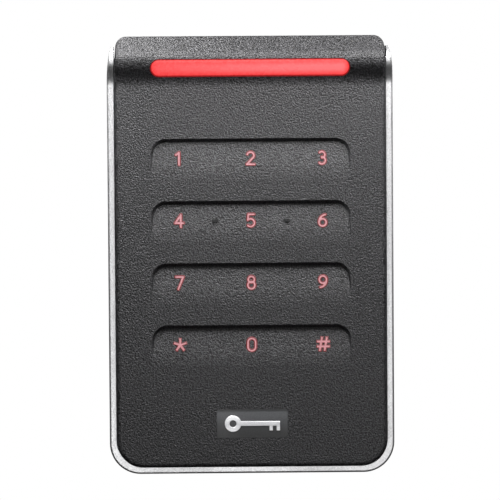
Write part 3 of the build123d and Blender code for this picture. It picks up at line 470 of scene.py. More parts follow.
# lit plastics: their own colour, then the colour and strength of their light
LAMP_BODY = lit_plastic("lamp_body", (0.85, 0.83, 0.75), (1.0, 0.3, 0.25), 0.6)
DIFFUSER_GLOW = lit_plastic("diffuser_glow", (0.8, 0.78, 0.76), (0.95, 0.18, 0.16), 0.7)
LEGEND_GLOW = lit_plastic("legend_glow", (0.2, 0.1, 0.11), (0.44, 0.205, 0.215), 1.0)
RIM_GLOW = lit_plastic("rim_glow", (0.03, 0.004, 0.004), (0.17, 0.016, 0.018), 1.0)
# dark badge plate: painted shade towards its bottom, painted highlight along its top
BADGE_DARK_PAINTED_LIGHT = light_painted_plate(
    "badge_dark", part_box("badge_plate"),
    ((0.0, (0.003, 0.003, 0.003)), (0.5, (0.032, 0.033, 0.036)), (1.0, (0.09, 0.093, 0.1))),
    (0.3, 0.42), metallic=0.0, grain_size=0.3 * MM, grain_depth=0.006 * MM,
)
# silver badge symbol: painted light and shade, darker across its middle and lighter at its bottom and
# top
BADGE_SILVER_PAINTED_LIGHT = light_painted_plate(
    "badge_silver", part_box("badge_symbol"),
    ((0.0, (0.8, 0.8, 0.81)), (0.45, (0.55, 0.55, 0.57)), (1.0, (0.92, 0.92, 0.93))),
    (0.3, 0.4), metallic=0.35, grain_size=0.3 * MM, grain_depth=0.01 * MM,
)


def clear_plastic():
    """Clear moulded light pipe."""
    material, shader = new_material("clear_plastic")
    grain = place_group(material, SPARK_GRAIN, Grain_Size=0.5 * MM)
    tint = ((0.0, (0.82, 0.87, 0.9)), (1.0, (0.92, 0.95, 0.97)))
    handle(material, shader, tones(material, grain.outputs["Speckle"], *tint), (0.05, 0.15), 0.1)
    shader.inputs["Transmission Weight"].default_value = 0.85
    shader.inputs["IOR"].default_value = 1.49
    bump_from(material, shader, grain.outputs["Height"], 0.004 * MM)
    return material


CLEAR = clear_plastic()

FINISHES = {
    SILVER: ("wall_plate",),
    COVER_BLACK: ("front_cover",),
    HOUSING_BLACK: ("rear_housing",),
    SEAL_RUBBER: ("perimeter_seal",),
    STEEL: ("security_screw", "lock_catch", "terminal_screws", "cover_screws", "board_screws"),
    LENS_RED: ("light_bar_lens",),
    DIFFUSER_GLOW: ("light_bar_diffuser",),
    LAMP_BODY: ("light_bar_lights", "key_lights"),
    DASH_BLACK: ("position_dashes",),
    BADGE_DARK_PAINTED_LIGHT: ("badge_plate",),
    BADGE_SILVER_PAINTED_LIGHT: ("badge_symbol",),
    BOARD_GREEN: ("touch_board", "main_board"),
    WHITE_GUIDE: ("key_diffusers",),
    GOLD_TRACK: ("high_band_antenna",),
    COPPER_WIRE: ("low_band_antenna",),
    FERRITE: ("ferrite_sheet", "power_inductor"),
    CHIP_BLACK: (
        "controller_chip", "radio_front_end", "secure_element", "voltage_regulator", "tamper_sensor",
    ),
    CONNECTOR_BLACK: ("board_link_plug", "board_link_socket", "buzzer"),
    TIN_CAN: ("radio_module_can", "clock_crystal", "terminal_pins"),
    CAPACITOR_TAN: ("chip_capacitors",),
    CLEAR: ("tamper_light_pipe",),
    TERMINAL_GREEN: ("terminal_header", "terminal_plug"),
    LEGEND_GLOW: KEYS,
}
for finish, pieces in FINISHES.items():
    for node_name in pieces:
        wear(node_name, finish)


# ---- geometry node trees --------------------------------------------------------------------
def new_tree(name, inputs):
    """Geometry tree with a Geometry input, named inputs (name, kind, value) and one output."""
    tree = bpy.data.node_groups.new(name, "GeometryNodeTree")
    tree.interface.new_socket("Geometry", in_out="INPUT", socket_type="NodeSocketGeometry")
    for label, kind, value in inputs:
        socket = tree.interface.new_socket(label, in_out="INPUT", socket_type="NodeSocket" + kind)
        if value is not None:
            socket.default_value = value
    tree.interface.new_socket("Material", in_out="INPUT", socket_type="NodeSocketMaterial")
    tree.interface.new_socket("Geometry", in_out="OUTPUT", socket_type="NodeSocketGeometry")
    return tree, tree.nodes.new("NodeGroupInput"), tree.nodes.new("NodeGroupOutput")


def close_tree(tree, start, end, shape):
    """Ends a tree: smooth faces, instances realised, material set."""
    links = tree.links
    smooth = tree.nodes.new("GeometryNodeSetShadeSmooth")
    smooth.inputs["Shade Smooth"].default_value = True
    realised = tree.nodes.new("GeometryNodeRealizeInstances")
    dressed = tree.nodes.new("GeometryNodeSetMaterial")
    links.new(shape, realised.inputs[0])
    links.new(realised.outputs[0], smooth.inputs[0])
    links.new(smooth.outputs[0], dressed.inputs["Geometry"])
    links.new(start.outputs["Material"], dressed.inputs["Material"])
    links.new(dressed.outputs[0], end.inputs[0])


def swept(tree, path, section):
    """Sweeps a closed section along a path and closes its ends."""
    sweep = tree.nodes.new("GeometryNodeCurveToMesh")
    sweep.inputs["Fill Caps"].default_value = True
    tree.links.new(path, sweep.inputs["Curve"])
    tree.links.new(section, sweep.inputs["Profile Curve"])
    return sweep.outputs[0]


def stood_up(tree, shape):
    """Stands up what was drawn lying flat: its height becomes +Z, and its top faces the user."""
    turned = tree.nodes.new("GeometryNodeTransform")
    turned.inputs["Rotation"].default_value = (math.pi / 2, 0, 0)
    tree.links.new(shape, turned.inputs[0])
    return turned.outputs[0]


def bead_tree():
    """Round bead along every edge path of the base."""
    tree, start, end = new_tree("edge_bead", [("Radius", "Float", 0.1 * MM), ("Sides", "Int", 6)])
    path = tree.nodes.new("GeometryNodeMeshToCurve")
    ring = tree.nodes.new("GeometryNodeCurvePrimitiveCircle")
    tree.links.new(start.outputs["Geometry"], path.inputs["Mesh"])
    tree.links.new(start.outputs["Radius"], ring.inputs["Radius"])
    tree.links.new(start.outputs["Sides"], ring.inputs["Resolution"])
    close_tree(tree, start, end, swept(tree, path.outputs[0], ring.outputs[0]))
    return tree


def track_tree():
    """Flat printed track with rounded bends along every edge path, laid on a board."""
    tree, start, end = new_tree("printed_track", [
        ("Width", "Float", 0.3 * MM), ("Thickness", "Float", 0.05 * MM), ("Bend", "Float", 0.5 * MM),
    ])
    links, out = tree.links, start.outputs
    path = tree.nodes.new("GeometryNodeMeshToCurve")
    links.new(out["Geometry"], path.inputs["Mesh"])
    bends = tree.nodes.new("GeometryNodeFilletCurve")
    links.new(path.outputs[0], bends.inputs["Curve"])
    links.new(out["Bend"], bends.inputs["Radius"])
    upright = tree.nodes.new("GeometryNodeSetCurveNormal")
    links.new(bends.outputs[0], upright.inputs["Curve"])
    section = tree.nodes.new("GeometryNodeCurvePrimitiveQuadrilateral")
    links.new(out["Width"], section.inputs["Width"])
    links.new(out["Thickness"], section.inputs["Height"])
    track = swept(tree, upright.outputs[0], section.outputs[0])
    close_tree(tree, start, end, stood_up(tree, track))
    return tree


def set_out_tree():
    """An item on every point of the base, turned and sized by the point's own attributes."""
    tree, start, end = new_tree("set_out_items", [("Item", "Object", None)])
    links = tree.links
    item = tree.nodes.new("GeometryNodeObjectInfo")
    spread = tree.nodes.new("GeometryNodeInstanceOnPoints")
    to_rotation = tree.nodes.new("FunctionNodeEulerToRotation")
    links.new(start.outputs["Item"], item.inputs["Object"])
    links.new(start.outputs["Geometry"], spread.inputs["Points"])
    links.new(item.outputs["Geometry"], spread.inputs["Instance"])
    links.new(to_rotation.outputs[0], spread.inputs["Rotation"])
    for label, target in (("turn", to_rotation.inputs[0]), ("size", spread.inputs["Scale"])):
        own = add_node(tree, "GeometryNodeInputNamedAttribute", data_type="FLOAT_VECTOR")
        own.inputs["Name"].default_value = label
        links.new(own.outputs["Attribute"], target)
    close_tree(tree, start, end, spread.outputs[0])
    return tree


CORNER_STEPS = 8  # points in each corner of a winding
STEPS_A_TURN = 88.0  # points in each turn of wire


def winding_tree():
    """Wire wound round a rounded rectangle, turn by turn and layer by layer."""
    tree, start, end = new_tree("wound_coil", [
        ("Width", "Float", 1.0), ("Height", "Float", 1.0), ("Corner", "Float", 0.1),
        ("Turns", "Int", 10), ("Columns", "Int", 5),
        ("Pitch", "Float", 0.3 * MM), ("Wire Radius", "Float", 0.14 * MM),
    ])
    links, out = tree.links, start.outputs
    former = tree.nodes.new("GeometryNodeCurvePrimitiveQuadrilateral")
    links.new(out["Width"], former.inputs["Width"])
    links.new(out["Height"], former.inputs["Height"])
    corners = tree.nodes.new("GeometryNodeFilletCurve")
    corners.mode = "POLY"
    corners.inputs["Count"].default_value = CORNER_STEPS
    links.new(former.outputs[0], corners.inputs["Curve"])
    links.new(out["Corner"], corners.inputs["Radius"])
    line = tree.nodes.new("GeometryNodeCurvePrimitiveLine")
    points = tree.nodes.new("GeometryNodeResampleCurve")
    links.new(line.outputs[0], points.inputs["Curve"])
    links.new(calculate(tree, "MULTIPLY", out["Turns"], STEPS_A_TURN), points.inputs["Count"])
    # how many turns are wound at a point, and its place in that turn
    travel = tree.nodes.new("GeometryNodeSplineParameter")
    wound = calculate(tree, "MULTIPLY", travel.outputs["Factor"], out["Turns"])
    wound = calculate(tree, "MINIMUM", wound, calculate(tree, "SUBTRACT", out["Turns"], 0.001))
    turn = calculate(tree, "FLOOR", wound)
    place = tree.nodes.new("GeometryNodeSampleCurve")
    place.mode = "FACTOR"
    links.new(corners.outputs[0], place.inputs["Curves"])
    links.new(calculate(tree, "FRACT", wound), place.inputs["Factor"])
    # the turn's column moves it sideways, and its layer moves it up
    column = calculate(tree, "MODULO", turn, out["Columns"])
    middle = calculate(tree, "MULTIPLY", calculate(tree, "SUBTRACT", out["Columns"], 1.0), 0.5)
    across = calculate(tree, "MULTIPLY", calculate(tree, "SUBTRACT", column, middle), out["Pitch"])
    layer = calculate(tree, "FLOOR", calculate(tree, "DIVIDE", turn, out["Columns"]))
    outward = vector_math(tree, "CROSS_PRODUCT", place.outputs["Tangent"], (0, 0, 1))
    sideways = vector_math(tree, "SCALE", outward, across)
    upward = tree.nodes.new("ShaderNodeCombineXYZ")
    links.new(calculate(tree, "MULTIPLY", layer, out["Pitch"]), upward.inputs["Z"])
    total = vector_math(tree, "ADD", place.outputs["Position"], sideways)
    total = vector_math(tree, "ADD", total, upward.outputs[0])
    moved = tree.nodes.new("GeometryNodeSetPosition")
    links.new(points.outputs[0], moved.inputs["Geometry"])
    links.new(total, moved.inputs["Position"])
    ring = add_node(tree, "GeometryNodeCurvePrimitiveCircle", Resolution=6)
    links.new(out["Wire Radius"], ring.inputs["Radius"])
    wire = swept(tree, moved.outputs[0], ring.outputs[0])
    close_tree(tree, start, end, stood_up(tree, wire))
    return tree


BEAD = bead_tree()
TRACK = track_tree()
SET_OUT = set_out_tree()
WINDING = winding_tree()


def add_piece(name, mesh, body, replaced=()):
    """Finished piece in the scene, on its body."""
    piece = bpy.data.objects.new(name, mesh)
    mesh.name = name
    bpy.context.scene.collection.objects.link(piece)
    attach(piece, body)
    if replaced:
        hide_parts(*replaced)
    return piece


def grow(name, base, tree, material, body, slot, replaced=(), shift=(0, 0, 0), **values):
    """Runs a tree once over a base mesh and keeps the result as a plain mesh on its body."""
    holder = bpy.data.objects.new(name + "_base", base)
    bpy.context.scene.collection.objects.link(holder)
    modifier = holder.modifiers.new("grow", "NODES")
    modifier.node_group = tree
    values["Material"] = material
    for item in tree.interface.items_tree:
        if item.in_out == "INPUT" and item.name.replace(" ", "_") in values:
            modifier[item.identifier] = values[item.name.replace(" ", "_")]
    depsgraph = bpy.context.evaluated_depsgraph_get()
    mesh = bpy.data.meshes.new_from_object(holder.evaluated_get(depsgraph), depsgraph=depsgraph)
    bpy.data.objects.remove(holder)
    if not mesh.materials:
        mesh.materials.append(material)
    mesh.transform(Matrix.Translation(shift))
    return add_piece(name, mesh, body, replaced)


def path_base(name, paths):
    """Base mesh of open or closed edge paths; a path is its points and whether it closes."""
    mesh = bpy.data.meshes.new(name)
    points, edges = [], []
    for path, closes in paths:
        first = len(points)
        points += [tuple(p) for p in path]
        edges += [(i, i + 1) for i in range(first, len(points) - 1)]
        if closes:
            edges.append((len(points) - 1, first))
    mesh.from_pydata(points, edges, [])
    return mesh


def point_base(name, places):
    """Base mesh of points; each place is its position, its turn and its size."""
    mesh = bpy.data.meshes.new(name)
    mesh.from_pydata([tuple(position) for position, turn, size in places], [], [])
    for label, column in (("turn", 1), ("size", 2)):
        attribute = mesh.attributes.new(label, "FLOAT_VECTOR", "POINT")
        for entry, place in zip(attribute.data, places):
            entry.vector = place[column]
    return mesh


def merged_copy(node_name):
    """Copy of a CAD node's mesh as a bmesh with its doubled points merged."""
    work = bmesh.new()
    work.from_mesh(NODES[node_name].data)
    bmesh.ops.remove_doubles(work, verts=work.verts, dist=1e-6)
    return work


def front_rim(node_name):
    """Edge loops round the front surface of a CAD node."""
    work = merged_copy(node_name)
    work.normal_update()
    facing = {face for face in work.faces if face.normal.y < -0.5}
    rim = [edge for edge in work.edges if sum(face in facing for face in edge.link_faces) == 1]
    corners = dict.fromkeys(vertex for edge in rim for vertex in edge.verts)
    index = {vertex: i for i, vertex in enumerate(corners)}
    base = bpy.data.meshes.new(node_name + "_rim")
    edges = [tuple(index[vertex] for vertex in edge.verts) for edge in rim]
    base.from_pydata([tuple(vertex.co) for vertex in index], edges, [])
    work.free()
    return base


# ---- glowing rims round the legends ---------------------------------------------------------
RIM_RADIUS = 0.15 * MM


def glowing_rims():
    """Light that leaks round the inlaid legends."""
    for key in KEYS:
        rim = front_rim(key)
        grow(f"{key}_rim", rim, BEAD, RIM_GLOW, "reader", "legend_red", Radius=RIM_RADIUS, Sides=6)


# ---- detailed inner parts -------------------------------------------------------------------
def islands(node_name):
    """Boxes (low corner, high corner) of the separate solids in a CAD node."""
    work = merged_copy(node_name)
    left, boxes = set(work.verts), []
    while left:
        reached = [left.pop()]
        for vertex in reached:
            for edge in vertex.link_edges:
                other = edge.other_vert(vertex)
                if other in left:
                    left.discard(other)
                    reached.append(other)
        boxes.append([
            Vector([pick(vertex.co[axis] for vertex in reached) for axis in range(3)])
            for pick in (min, max)
        ])
    work.free()
    return sorted(boxes, key=lambda box: (round(box[0].z, 5), round(box[0].x, 5)))


def finished(work, name, smooth_angle=35):
    """Turns a bmesh into a mesh with smooth faces and sharp corners."""
    mesh = bpy.data.meshes.new(name)
    bmesh.ops.recalc_face_normals(work, faces=work.faces)
    work.to_mesh(mesh)
    work.free()
    mesh.shade_smooth()
    mesh.set_sharp_from_angle(angle=math.radians(smooth_angle))
    return mesh


def add_block(work, low, high, bevel, segments=2):
    """Adds a block with rounded edges to a bmesh."""
    size, middle = high - low, (high + low) / 2
    fresh = bmesh.ops.create_cube(work, size=1.0)["verts"]
    bmesh.ops.scale(work, vec=size, verts=fresh)
    bmesh.ops.translate(work, vec=middle, verts=fresh)
    edges = list({edge for vertex in fresh for edge in vertex.link_edges})
    bmesh.ops.bevel(work, geom=edges, offset=bevel, segments=segments, profile=0.5, affect="EDGES")


def add_disc(work, centre, radius, depth, sides=24):
    """Adds a short cylinder along Y to a bmesh."""
    turn = Matrix.Translation(centre) @ Matrix.Rotation(math.radians(-90), 4, "X")
    bmesh.ops.create_cone(
        work, cap_ends=True, segments=sides, radius1=radius, radius2=radius, depth=depth, matrix=turn
    )


def solid_piece(name, work, material, replaced=(), body="reader"):
    """Finishes a bmesh and adds it as a piece of one material."""
    mesh = finished(work, name)
    mesh.materials.append(material)
    return add_piece(name, mesh, body, replaced)


def block_piece(name, boxes, bevel, material, replaced=(), body="reader"):
    """One piece made of rounded blocks."""
    work = bmesh.new()
    for low, high in boxes:
        add_block(work, low, high, bevel)
    return solid_piece(name, work, material, replaced, body)


def set_out(name, item_mesh, places, material, slot, body="reader", replaced=()):
    """Copies of an item at places, each with its turn and size, as one piece."""
    item = bpy.data.objects.new(name + "_item", item_mesh)
    base = point_base(name + "_points", places)
    piece = grow(name, base, SET_OUT, material, body, slot, replaced, Item=item)
    bpy.data.objects.remove(item)
    return piece


TO_WALL = (math.radians(-90), 0.0, 0.0)  # an item's top faces the wall
TO_USER = (math.radians(90), 0.0, 0.0)  # an item's top faces the user
WHOLE = (1.0, 1.0, 1.0)


def directions(sides):
    """Directions spaced evenly round a circle, each as its cosine and sine."""
    turns = [2 * math.pi * i / sides for i in range(sides)]
    return [(math.cos(turn), math.sin(turn)) for turn in turns]


def ring_of(work, radius, height, sides):
    """Adds a ring of points round Z to a bmesh, in millimetres."""
    return [
        work.verts.new(Vector((radius * x, radius * y, height)) * MM) for x, y in directions(sides)
    ]


def skin(work, rings):
    """Joins each ring of points to the next with faces."""
    count = len(rings[0])
    for first, second in zip(rings, rings[1:]):
        for i in range(count):
            after = (i + 1) % count
            work.faces.new((first[i], first[after], second[after], second[i]))


def gull_leg():
    """Gull-wing leg: out of the case, down, and flat on its pad; +X is outward, +Z off the board."""
    path = [(-0.15, 0.5), (0.18, 0.5), (0.3, 0.4), (0.36, 0.14), (0.46, 0.06), (0.75, 0.05)]
    half_width, half_thick = 0.13, 0.045
    section = [
        (side * half_width, up * half_thick) for side, up in ((-1, -1), (1, -1), (1, 1), (-1, 1))
    ]
    work = bmesh.new()
    rings = [[work.verts.new(Vector((x, y, z + up)) * MM) for y, up in section] for x, z in path]
    skin(work, rings)
    work.faces.new(rings[0][::-1])
    work.faces.new(rings[-1])
    return finished(work, "gull_leg")


def solder_dome():
    """Solder joint with hollow flanks round a cut pin end; +Z is off the board."""
    flank = [(0.62, 0.0), (0.42, 0.1), (0.28, 0.28), (0.22, 0.5), (0.2, 0.62)]
    tip_height, sides = 0.66, 14
    work = bmesh.new()
    rings = [ring_of(work, radius, height, sides) for radius, height in flank]
    tip = work.verts.new(Vector((0, 0, tip_height)) * MM)
    skin(work, rings)
    for i in range(sides):
        work.faces.new((rings[-1][i], rings[-1][(i + 1) % sides], tip))
    work.faces.new(rings[0][::-1])
    return finished(work, "solder_dome", 60)


def small_ring():
    """Plated ring round a via, lying on its board."""
    section = [(0.18, 0.0), (0.34, 0.0), (0.34, 0.06), (0.18, 0.06)]
    work = bmesh.new()
    rings = [ring_of(work, radius, height, 12) for radius, height in section]
    skin(work, rings + rings[:1])
    return finished(work, "small_ring")


def unit_block(name, size, bevel):
    """Rounded block item on its own centre, standing on its base."""
    work = bmesh.new()
    half = Vector(size) * MM / 2
    add_block(work, Vector((-half.x, -half.y, 0)), Vector((half.x, half.y, 2 * half.z)), bevel * MM)
    return finished(work, name)


def leg_places(box, sides, count, pitch, inset):
    """Places of legs along the edges of a case; a side is its outward direction in X and Z."""
    low, high = box
    middle = (low + high) / 2
    reach_x, reach_z = (high.x - low.x) / 2 - inset, (high.z - low.z) / 2 - inset
    places = []
    for out_x, out_z in sides:
        edge = Vector((middle.x + out_x * reach_x, low.y, middle.z + out_z * reach_z))
        turn = (math.radians(-90), math.atan2(-out_z, out_x), 0.0)
        for i in range(count):
            along = (i - (count - 1) / 2) * pitch
            places.append((edge + Vector((abs(out_z) * along, 0, abs(out_x) * along)), turn, WHOLE))
    return places


LEG_REACH = 0.75 * MM
CASE_STAND_OFF = Vector((0, 0.08, 0)) * MM
MARK_RADIUS, MARK_HEIGHT, MARK_INSET = 0.22 * MM, 0.02 * MM, 0.7 * MM
LEFT_RIGHT = ((1, 0), (-1, 0))
ALL_SIDES = (*LEFT_RIGHT, (0, 1), (0, -1))


def chips():
    """Chip cases with a pin-one mark, and their legs soldered to the back of the board."""
    cases = {
        # node: sides with legs, legs a side, their pitch
        "controller_chip": (ALL_SIDES, 13, 0.52 * MM),
        "radio_front_end": (ALL_SIDES, 10, 0.5 * MM),
        "secure_element": (LEFT_RIGHT, 4, 0.9 * MM),
        "voltage_regulator": (LEFT_RIGHT, 3, 1.9 * MM),
        "tamper_sensor": (LEFT_RIGHT, 3, 1.2 * MM),
    }
    legs, marks = [], bmesh.new()
    for node, (sides, count, pitch) in cases.items():
        low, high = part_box(node)
        inset = Vector((LEG_REACH if (1, 0) in sides else 0, 0, LEG_REACH if (0, 1) in sides else 0))
        case = [(low + inset + CASE_STAND_OFF, high - inset)]
        block_piece(f"{node}_case", case, 0.12 * MM, CHIP_BLACK, (node,))
        legs += leg_places((low, high), sides, count, pitch, LEG_REACH)
        from_corner = Vector((inset.x + MARK_INSET, 0, -inset.z - MARK_INSET))
        add_disc(marks, Vector((low.x, high.y, high.z)) + from_corner, MARK_RADIUS, MARK_HEIGHT)
    set_out("chip_legs", gull_leg(), legs, SOLDER, "tin_can")
    solid_piece("pin_one_marks", marks, CHIP_MARK)


def capacitors():
    """Ceramic capacitors: a tan body between two tinned ends."""
    body = unit_block("capacitor_body", (0.95, 0.76, 0.74), 0.06)
    end = unit_block("capacitor_end", (0.36, 0.8, 0.8), 0.1)
    bodies, ends = [], []
    for low, high in islands("chip_capacitors"):
        middle = (low + high) / 2
        upright = high.z - low.z > high.x - low.x
        turn = (math.radians(-90), math.radians(90) if upright else 0.0, 0.0)
        base = Vector((middle.x, low.y, middle.z))
        bodies.append((base, turn, WHOLE))
        for side in (-1, 1):
            along = Vector((0, 0, 1)) if upright else Vector((1, 0, 0))
            ends.append((base + along * side * 0.62 * MM, turn, WHOLE))
    set_out(
        "capacitor_bodies", body, bodies, CAPACITOR_TAN, "capacitor_tan", replaced=("chip_capacitors",)
    )
    set_out("capacitor_ends", end, ends, SOLDER, "tin_can")


def lamps():
    """Light sources: white cases with tinned ends; the bar's lamps also show a glowing window."""
    case = unit_block("lamp_case", (1.0, 1.0, 1.0), 0.08)
    for node, facing in (("key_lights", TO_WALL), ("light_bar_lights", TO_USER)):
        cases, ends, windows = [], [], []
        for low, high in islands(node):
            middle, size = (low + high) / 2, (high - low) / MM
            base = Vector((middle.x, low.y if facing == TO_WALL else high.y, middle.z))
            cases.append((base, facing, (size.x * 0.8, size.z, size.y * 0.9)))
            windows.append((base, facing, (size.x * 0.5, size.z * 0.6, size.y * 0.98)))
            for side in (-1, 1):
                along = Vector((side * size.x * 0.44 * MM, 0, 0))
                ends.append((base + along, facing, (size.x * 0.12, size.z * 0.9, size.y * 0.6)))
        set_out(f"{node}_cases", case, cases, WHITE_GUIDE, "led_white", replaced=(node,))
        set_out(f"{node}_ends", case, ends, SOLDER, "tin_can")
        if facing == TO_USER:
            set_out(f"{node}_windows", case, windows, LAMP_BODY, "red_lens")


def unit_base(name):
    """Base mesh of one short edge, for a tree that makes its own path."""
    return path_base(name, [([(0, 0, 0), (MM, 0, 0)], False)])


def metal_cans():
    """Radio module's can with vents, the crystal's can, and the shielded inductor."""
    low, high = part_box("radio_module_can")
    block_piece("radio_can", [(low, high)], 0.4 * MM, TIN_CAN, ("radio_module_can",))
    vents, corner = bmesh.new(), Vector((low.x, high.y, low.z))
    for column in range(4):
        for row in range(5):
            centre = corner + Vector((2.4 + 2.4 * column, 0, 2.8 + 2.6 * row)) * MM
            add_disc(vents, centre, 0.42 * MM, 0.03 * MM)
    solid_piece("can_vents", vents, CONNECTOR_BLACK)
    low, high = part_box("clock_crystal")
    lip = Vector((0, (high.y - low.y) * 0.75, 0))
    rim = Vector((0.3, 0, 0.3)) * MM
    shells = [(low, high - lip), (low + rim, high - rim)]
    block_piece("crystal_can", shells, 0.12 * MM, TIN_CAN, ("clock_crystal",))
    low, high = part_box("power_inductor")
    flange = Vector((0, 0.7, 0)) * MM
    waist = Vector((1.9, 0.3, 1.9)) * MM
    core = [
        (low, Vector((high.x, (low + flange).y, high.z))),
        (Vector((low.x, (high - flange).y, low.z)), high),
        (low + waist, high - waist),
    ]
    block_piece("inductor_core", core, 0.25 * MM, FERRITE, ("power_inductor",))
    middle = (low + high) / 2
    grow(
        "inductor_winding", unit_base("inductor_base"), WINDING, COPPER_WIRE, "reader", "copper",
        shift=(middle.x, high.y - flange.y - 0.2 * MM, middle.z),
        Width=5.2 * MM, Height=5.2 * MM, Corner=2.5 * MM, Turns=8, Columns=2,
        Pitch=0.36 * MM, Wire_Radius=0.17 * MM,
    )


def antenna_coil():
    """Low band antenna: wire wound in layers, held by bands of amber tape."""
    low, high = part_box("low_band_antenna")
    middle, size = (low + high) / 2, high - low
    pitch, columns, layers = 0.3 * MM, 7, 5
    width, height = columns * pitch, layers * pitch
    gap, grip, tape_length = 0.1 * MM, 0.08 * MM, 5.0 * MM
    grow(
        "antenna_winding", unit_base("antenna_base"), WINDING, COPPER_WIRE, "reader", "copper",
        ("low_band_antenna",), (middle.x, high.y - gap - pitch / 2, middle.z),
        Width=size.x - width, Height=size.z - width, Corner=6.0 * MM, Turns=columns * layers,
        Columns=columns, Pitch=pitch, Wire_Radius=0.145 * MM,
    )
    bands = []
    for side in (-1, 1):
        for axis in (0, 2):
            centre = Vector((middle.x, high.y - gap - height / 2, middle.z))
            centre[axis] += side * (size[axis] - width) / 2
            half = Vector((tape_length / 2, height / 2 + grip, tape_length / 2))
            half[axis] = width / 2 + grip
            bands.append((centre - half, centre + half))
    block_piece("antenna_tapes", bands, 0.15 * MM, TAPE_AMBER)


def on_board(points, closes=False):
    """Path for a track from points (across, up) in millimetres."""
    return [Vector((*point, 0)) * MM for point in points], closes


def route(start, end, bend_share):
    """Points of a track between two places: straight up, across on a slant, straight up."""
    rise = end[1] - start[1]
    slant = min(abs(end[0] - start[0]), 0.8 * rise)
    first = (rise - slant) * bend_share
    return [start, (start[0], start[1] + first), (end[0], start[1] + first + slant), end]


def ring(x, z, radius, sides=40):
    """Closed round path on a board, in millimetres."""
    return on_board([(x + radius * cos, z + radius * sin) for cos, sin in directions(sides)], True)


def lane(key, row):
    """Lead from a key's ring along the lane beside its column, then over to the link."""
    column = round(key.x / 20)
    side = 1 if column < 0 else -1
    start = key.x + side * 4.5
    along = column * 15.2 - (0.8 * row - 1.2) * column if column else -5.9 - 0.8 * row
    goal = column * 6.0 + 0.9 * row - 1.4
    turn = 36.6 - abs(goal - along)
    step = abs(along - start)
    points = [(start, key.z), (along, key.z + step), (along, turn), (goal, 36.6), (goal, 41.0)]
    return points


TRACK_THICKNESS = 0.05 * MM
BOARD_EDGE = 1.2  # millimetres from the board's edge to the track that runs round it


def lay_tracks(name, paths, height, material, slot, width, bend=0.0):
    """Lays printed tracks along paths on the board surface at a height."""
    grow(
        name, path_base(name + "_base", paths), TRACK, material, "reader", slot,
        shift=(0, height, 0), Width=width, Thickness=TRACK_THICKNESS, Bend=bend,
    )


def main_board_paths():
    """Tracks from the terminals to the chips, between the chips, and round the board's edge."""
    low, high = [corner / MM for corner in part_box("main_board")]
    pins = [(start.x + end.x) / 2 / MM for start, end in islands("terminal_pins")]
    header, chip, radio, can = (
        [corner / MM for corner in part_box(node)]
        for node in ("terminal_header", "controller_chip", "radio_front_end", "radio_module_can")
    )
    paths = []
    for number, pin in enumerate(pins):
        goal = chip[0].x + 1.6 + 0.9 * number if number < 7 else radio[0].x + 1.4 + 1.4 * (number - 7)
        paths.append(route((pin, header[1].z + 0.4), (goal, chip[0].z - 0.3), 0.2))
    for number in range(8):
        from_chip = (chip[0].x + 1.7 + 0.75 * number, chip[1].z + 0.3)
        paths.append(route(from_chip, (can[0].x + 2 + 1.1 * number, can[0].z), 0.5))
    for number in range(5):
        level = radio[0].z + 1.5 + number
        paths.append([(chip[1].x + 0.2, level), (radio[0].x - 0.2, level)])
    west, east = low.x + BOARD_EDGE, high.x - BOARD_EDGE
    foot, top = low.z + BOARD_EDGE, high.z - BOARD_EDGE
    around = on_board([(west, foot), (east, foot), (east, top), (west, top)], True)
    return [on_board(path) for path in paths] + [around]


def board_tracks():
    """Key rings and their leads on the touch board, and what is printed on the main board's back."""
    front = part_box("touch_board")[0].y
    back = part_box("main_board")[1].y
    keys = [(start + end) / 2 / MM for start, end in islands("key_diffusers")]
    rings = [ring(key.x, key.z, 4.3) for key in keys]
    lay_tracks("key_rings", rings, front, GOLD_TRACK, "copper", 0.7 * MM)
    leads = [lane(key, round((30 - key.z) / 17)) for key in keys]
    paths = [on_board(lead) for lead in leads]
    lay_tracks("touch_board_leads", paths, front, TRACK_GREEN, "board_green", 0.28 * MM, 0.5 * MM)
    paths = main_board_paths()
    lay_tracks("main_board_tracks", paths, back, TRACK_GREEN, "board_green", 0.26 * MM, 0.6 * MM)
    holes = [(start + end) / 2 / MM for start, end in islands("board_screws")]
    rings = [ring(hole.x, hole.z, 2.1) for hole in holes]
    lay_tracks("screw_rings", rings, back, GOLD_TRACK, "copper", 0.6 * MM)
    vias = [((lead[-1][0] * MM, front, lead[-1][1] * MM), TO_USER, WHOLE) for lead in leads]
    for column in range(10):
        for row in range(2):
            x, z = -22.0 + 4.1 * column + 0.7 * (row % 3), 14.5 + 2.3 * row
            vias.append(((x * MM, back, z * MM), TO_WALL, WHOLE))
    set_out("board_vias", small_ring(), vias, GOLD_TRACK, "copper")


LINK_WAYS = 14  # ways of the link between the two boards


def solder_joints():
    """Soldered feet of the terminal header, and of the link socket on the board's back."""
    low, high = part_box("terminal_header")
    down = (math.radians(-90), math.radians(90), 0.0)  # a leg that reaches down the board
    feet = [
        (Vector(((start.x + end.x) / 2, low.y, low.z)), down, (1.6, 4.0, 1.0))
        for start, end in islands("terminal_pins")
    ]
    set_out("header_feet", gull_leg(), feet, SOLDER, "tin_can")
    start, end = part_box("board_link_socket")
    middle = (start + end) / 2
    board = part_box("main_board")[1].y
    tails = []
    for way in range(LINK_WAYS):
        for side in (-1, 1):
            x, z = middle.x + (way - (LINK_WAYS - 1) / 2) * 1.4 * MM, middle.z + side * 0.9 * MM
            tails.append((Vector((x, board, z)), TO_WALL, (0.7, 0.7, 0.7)))
    set_out("link_solder", solder_dome(), tails, SOLDER, "tin_can")


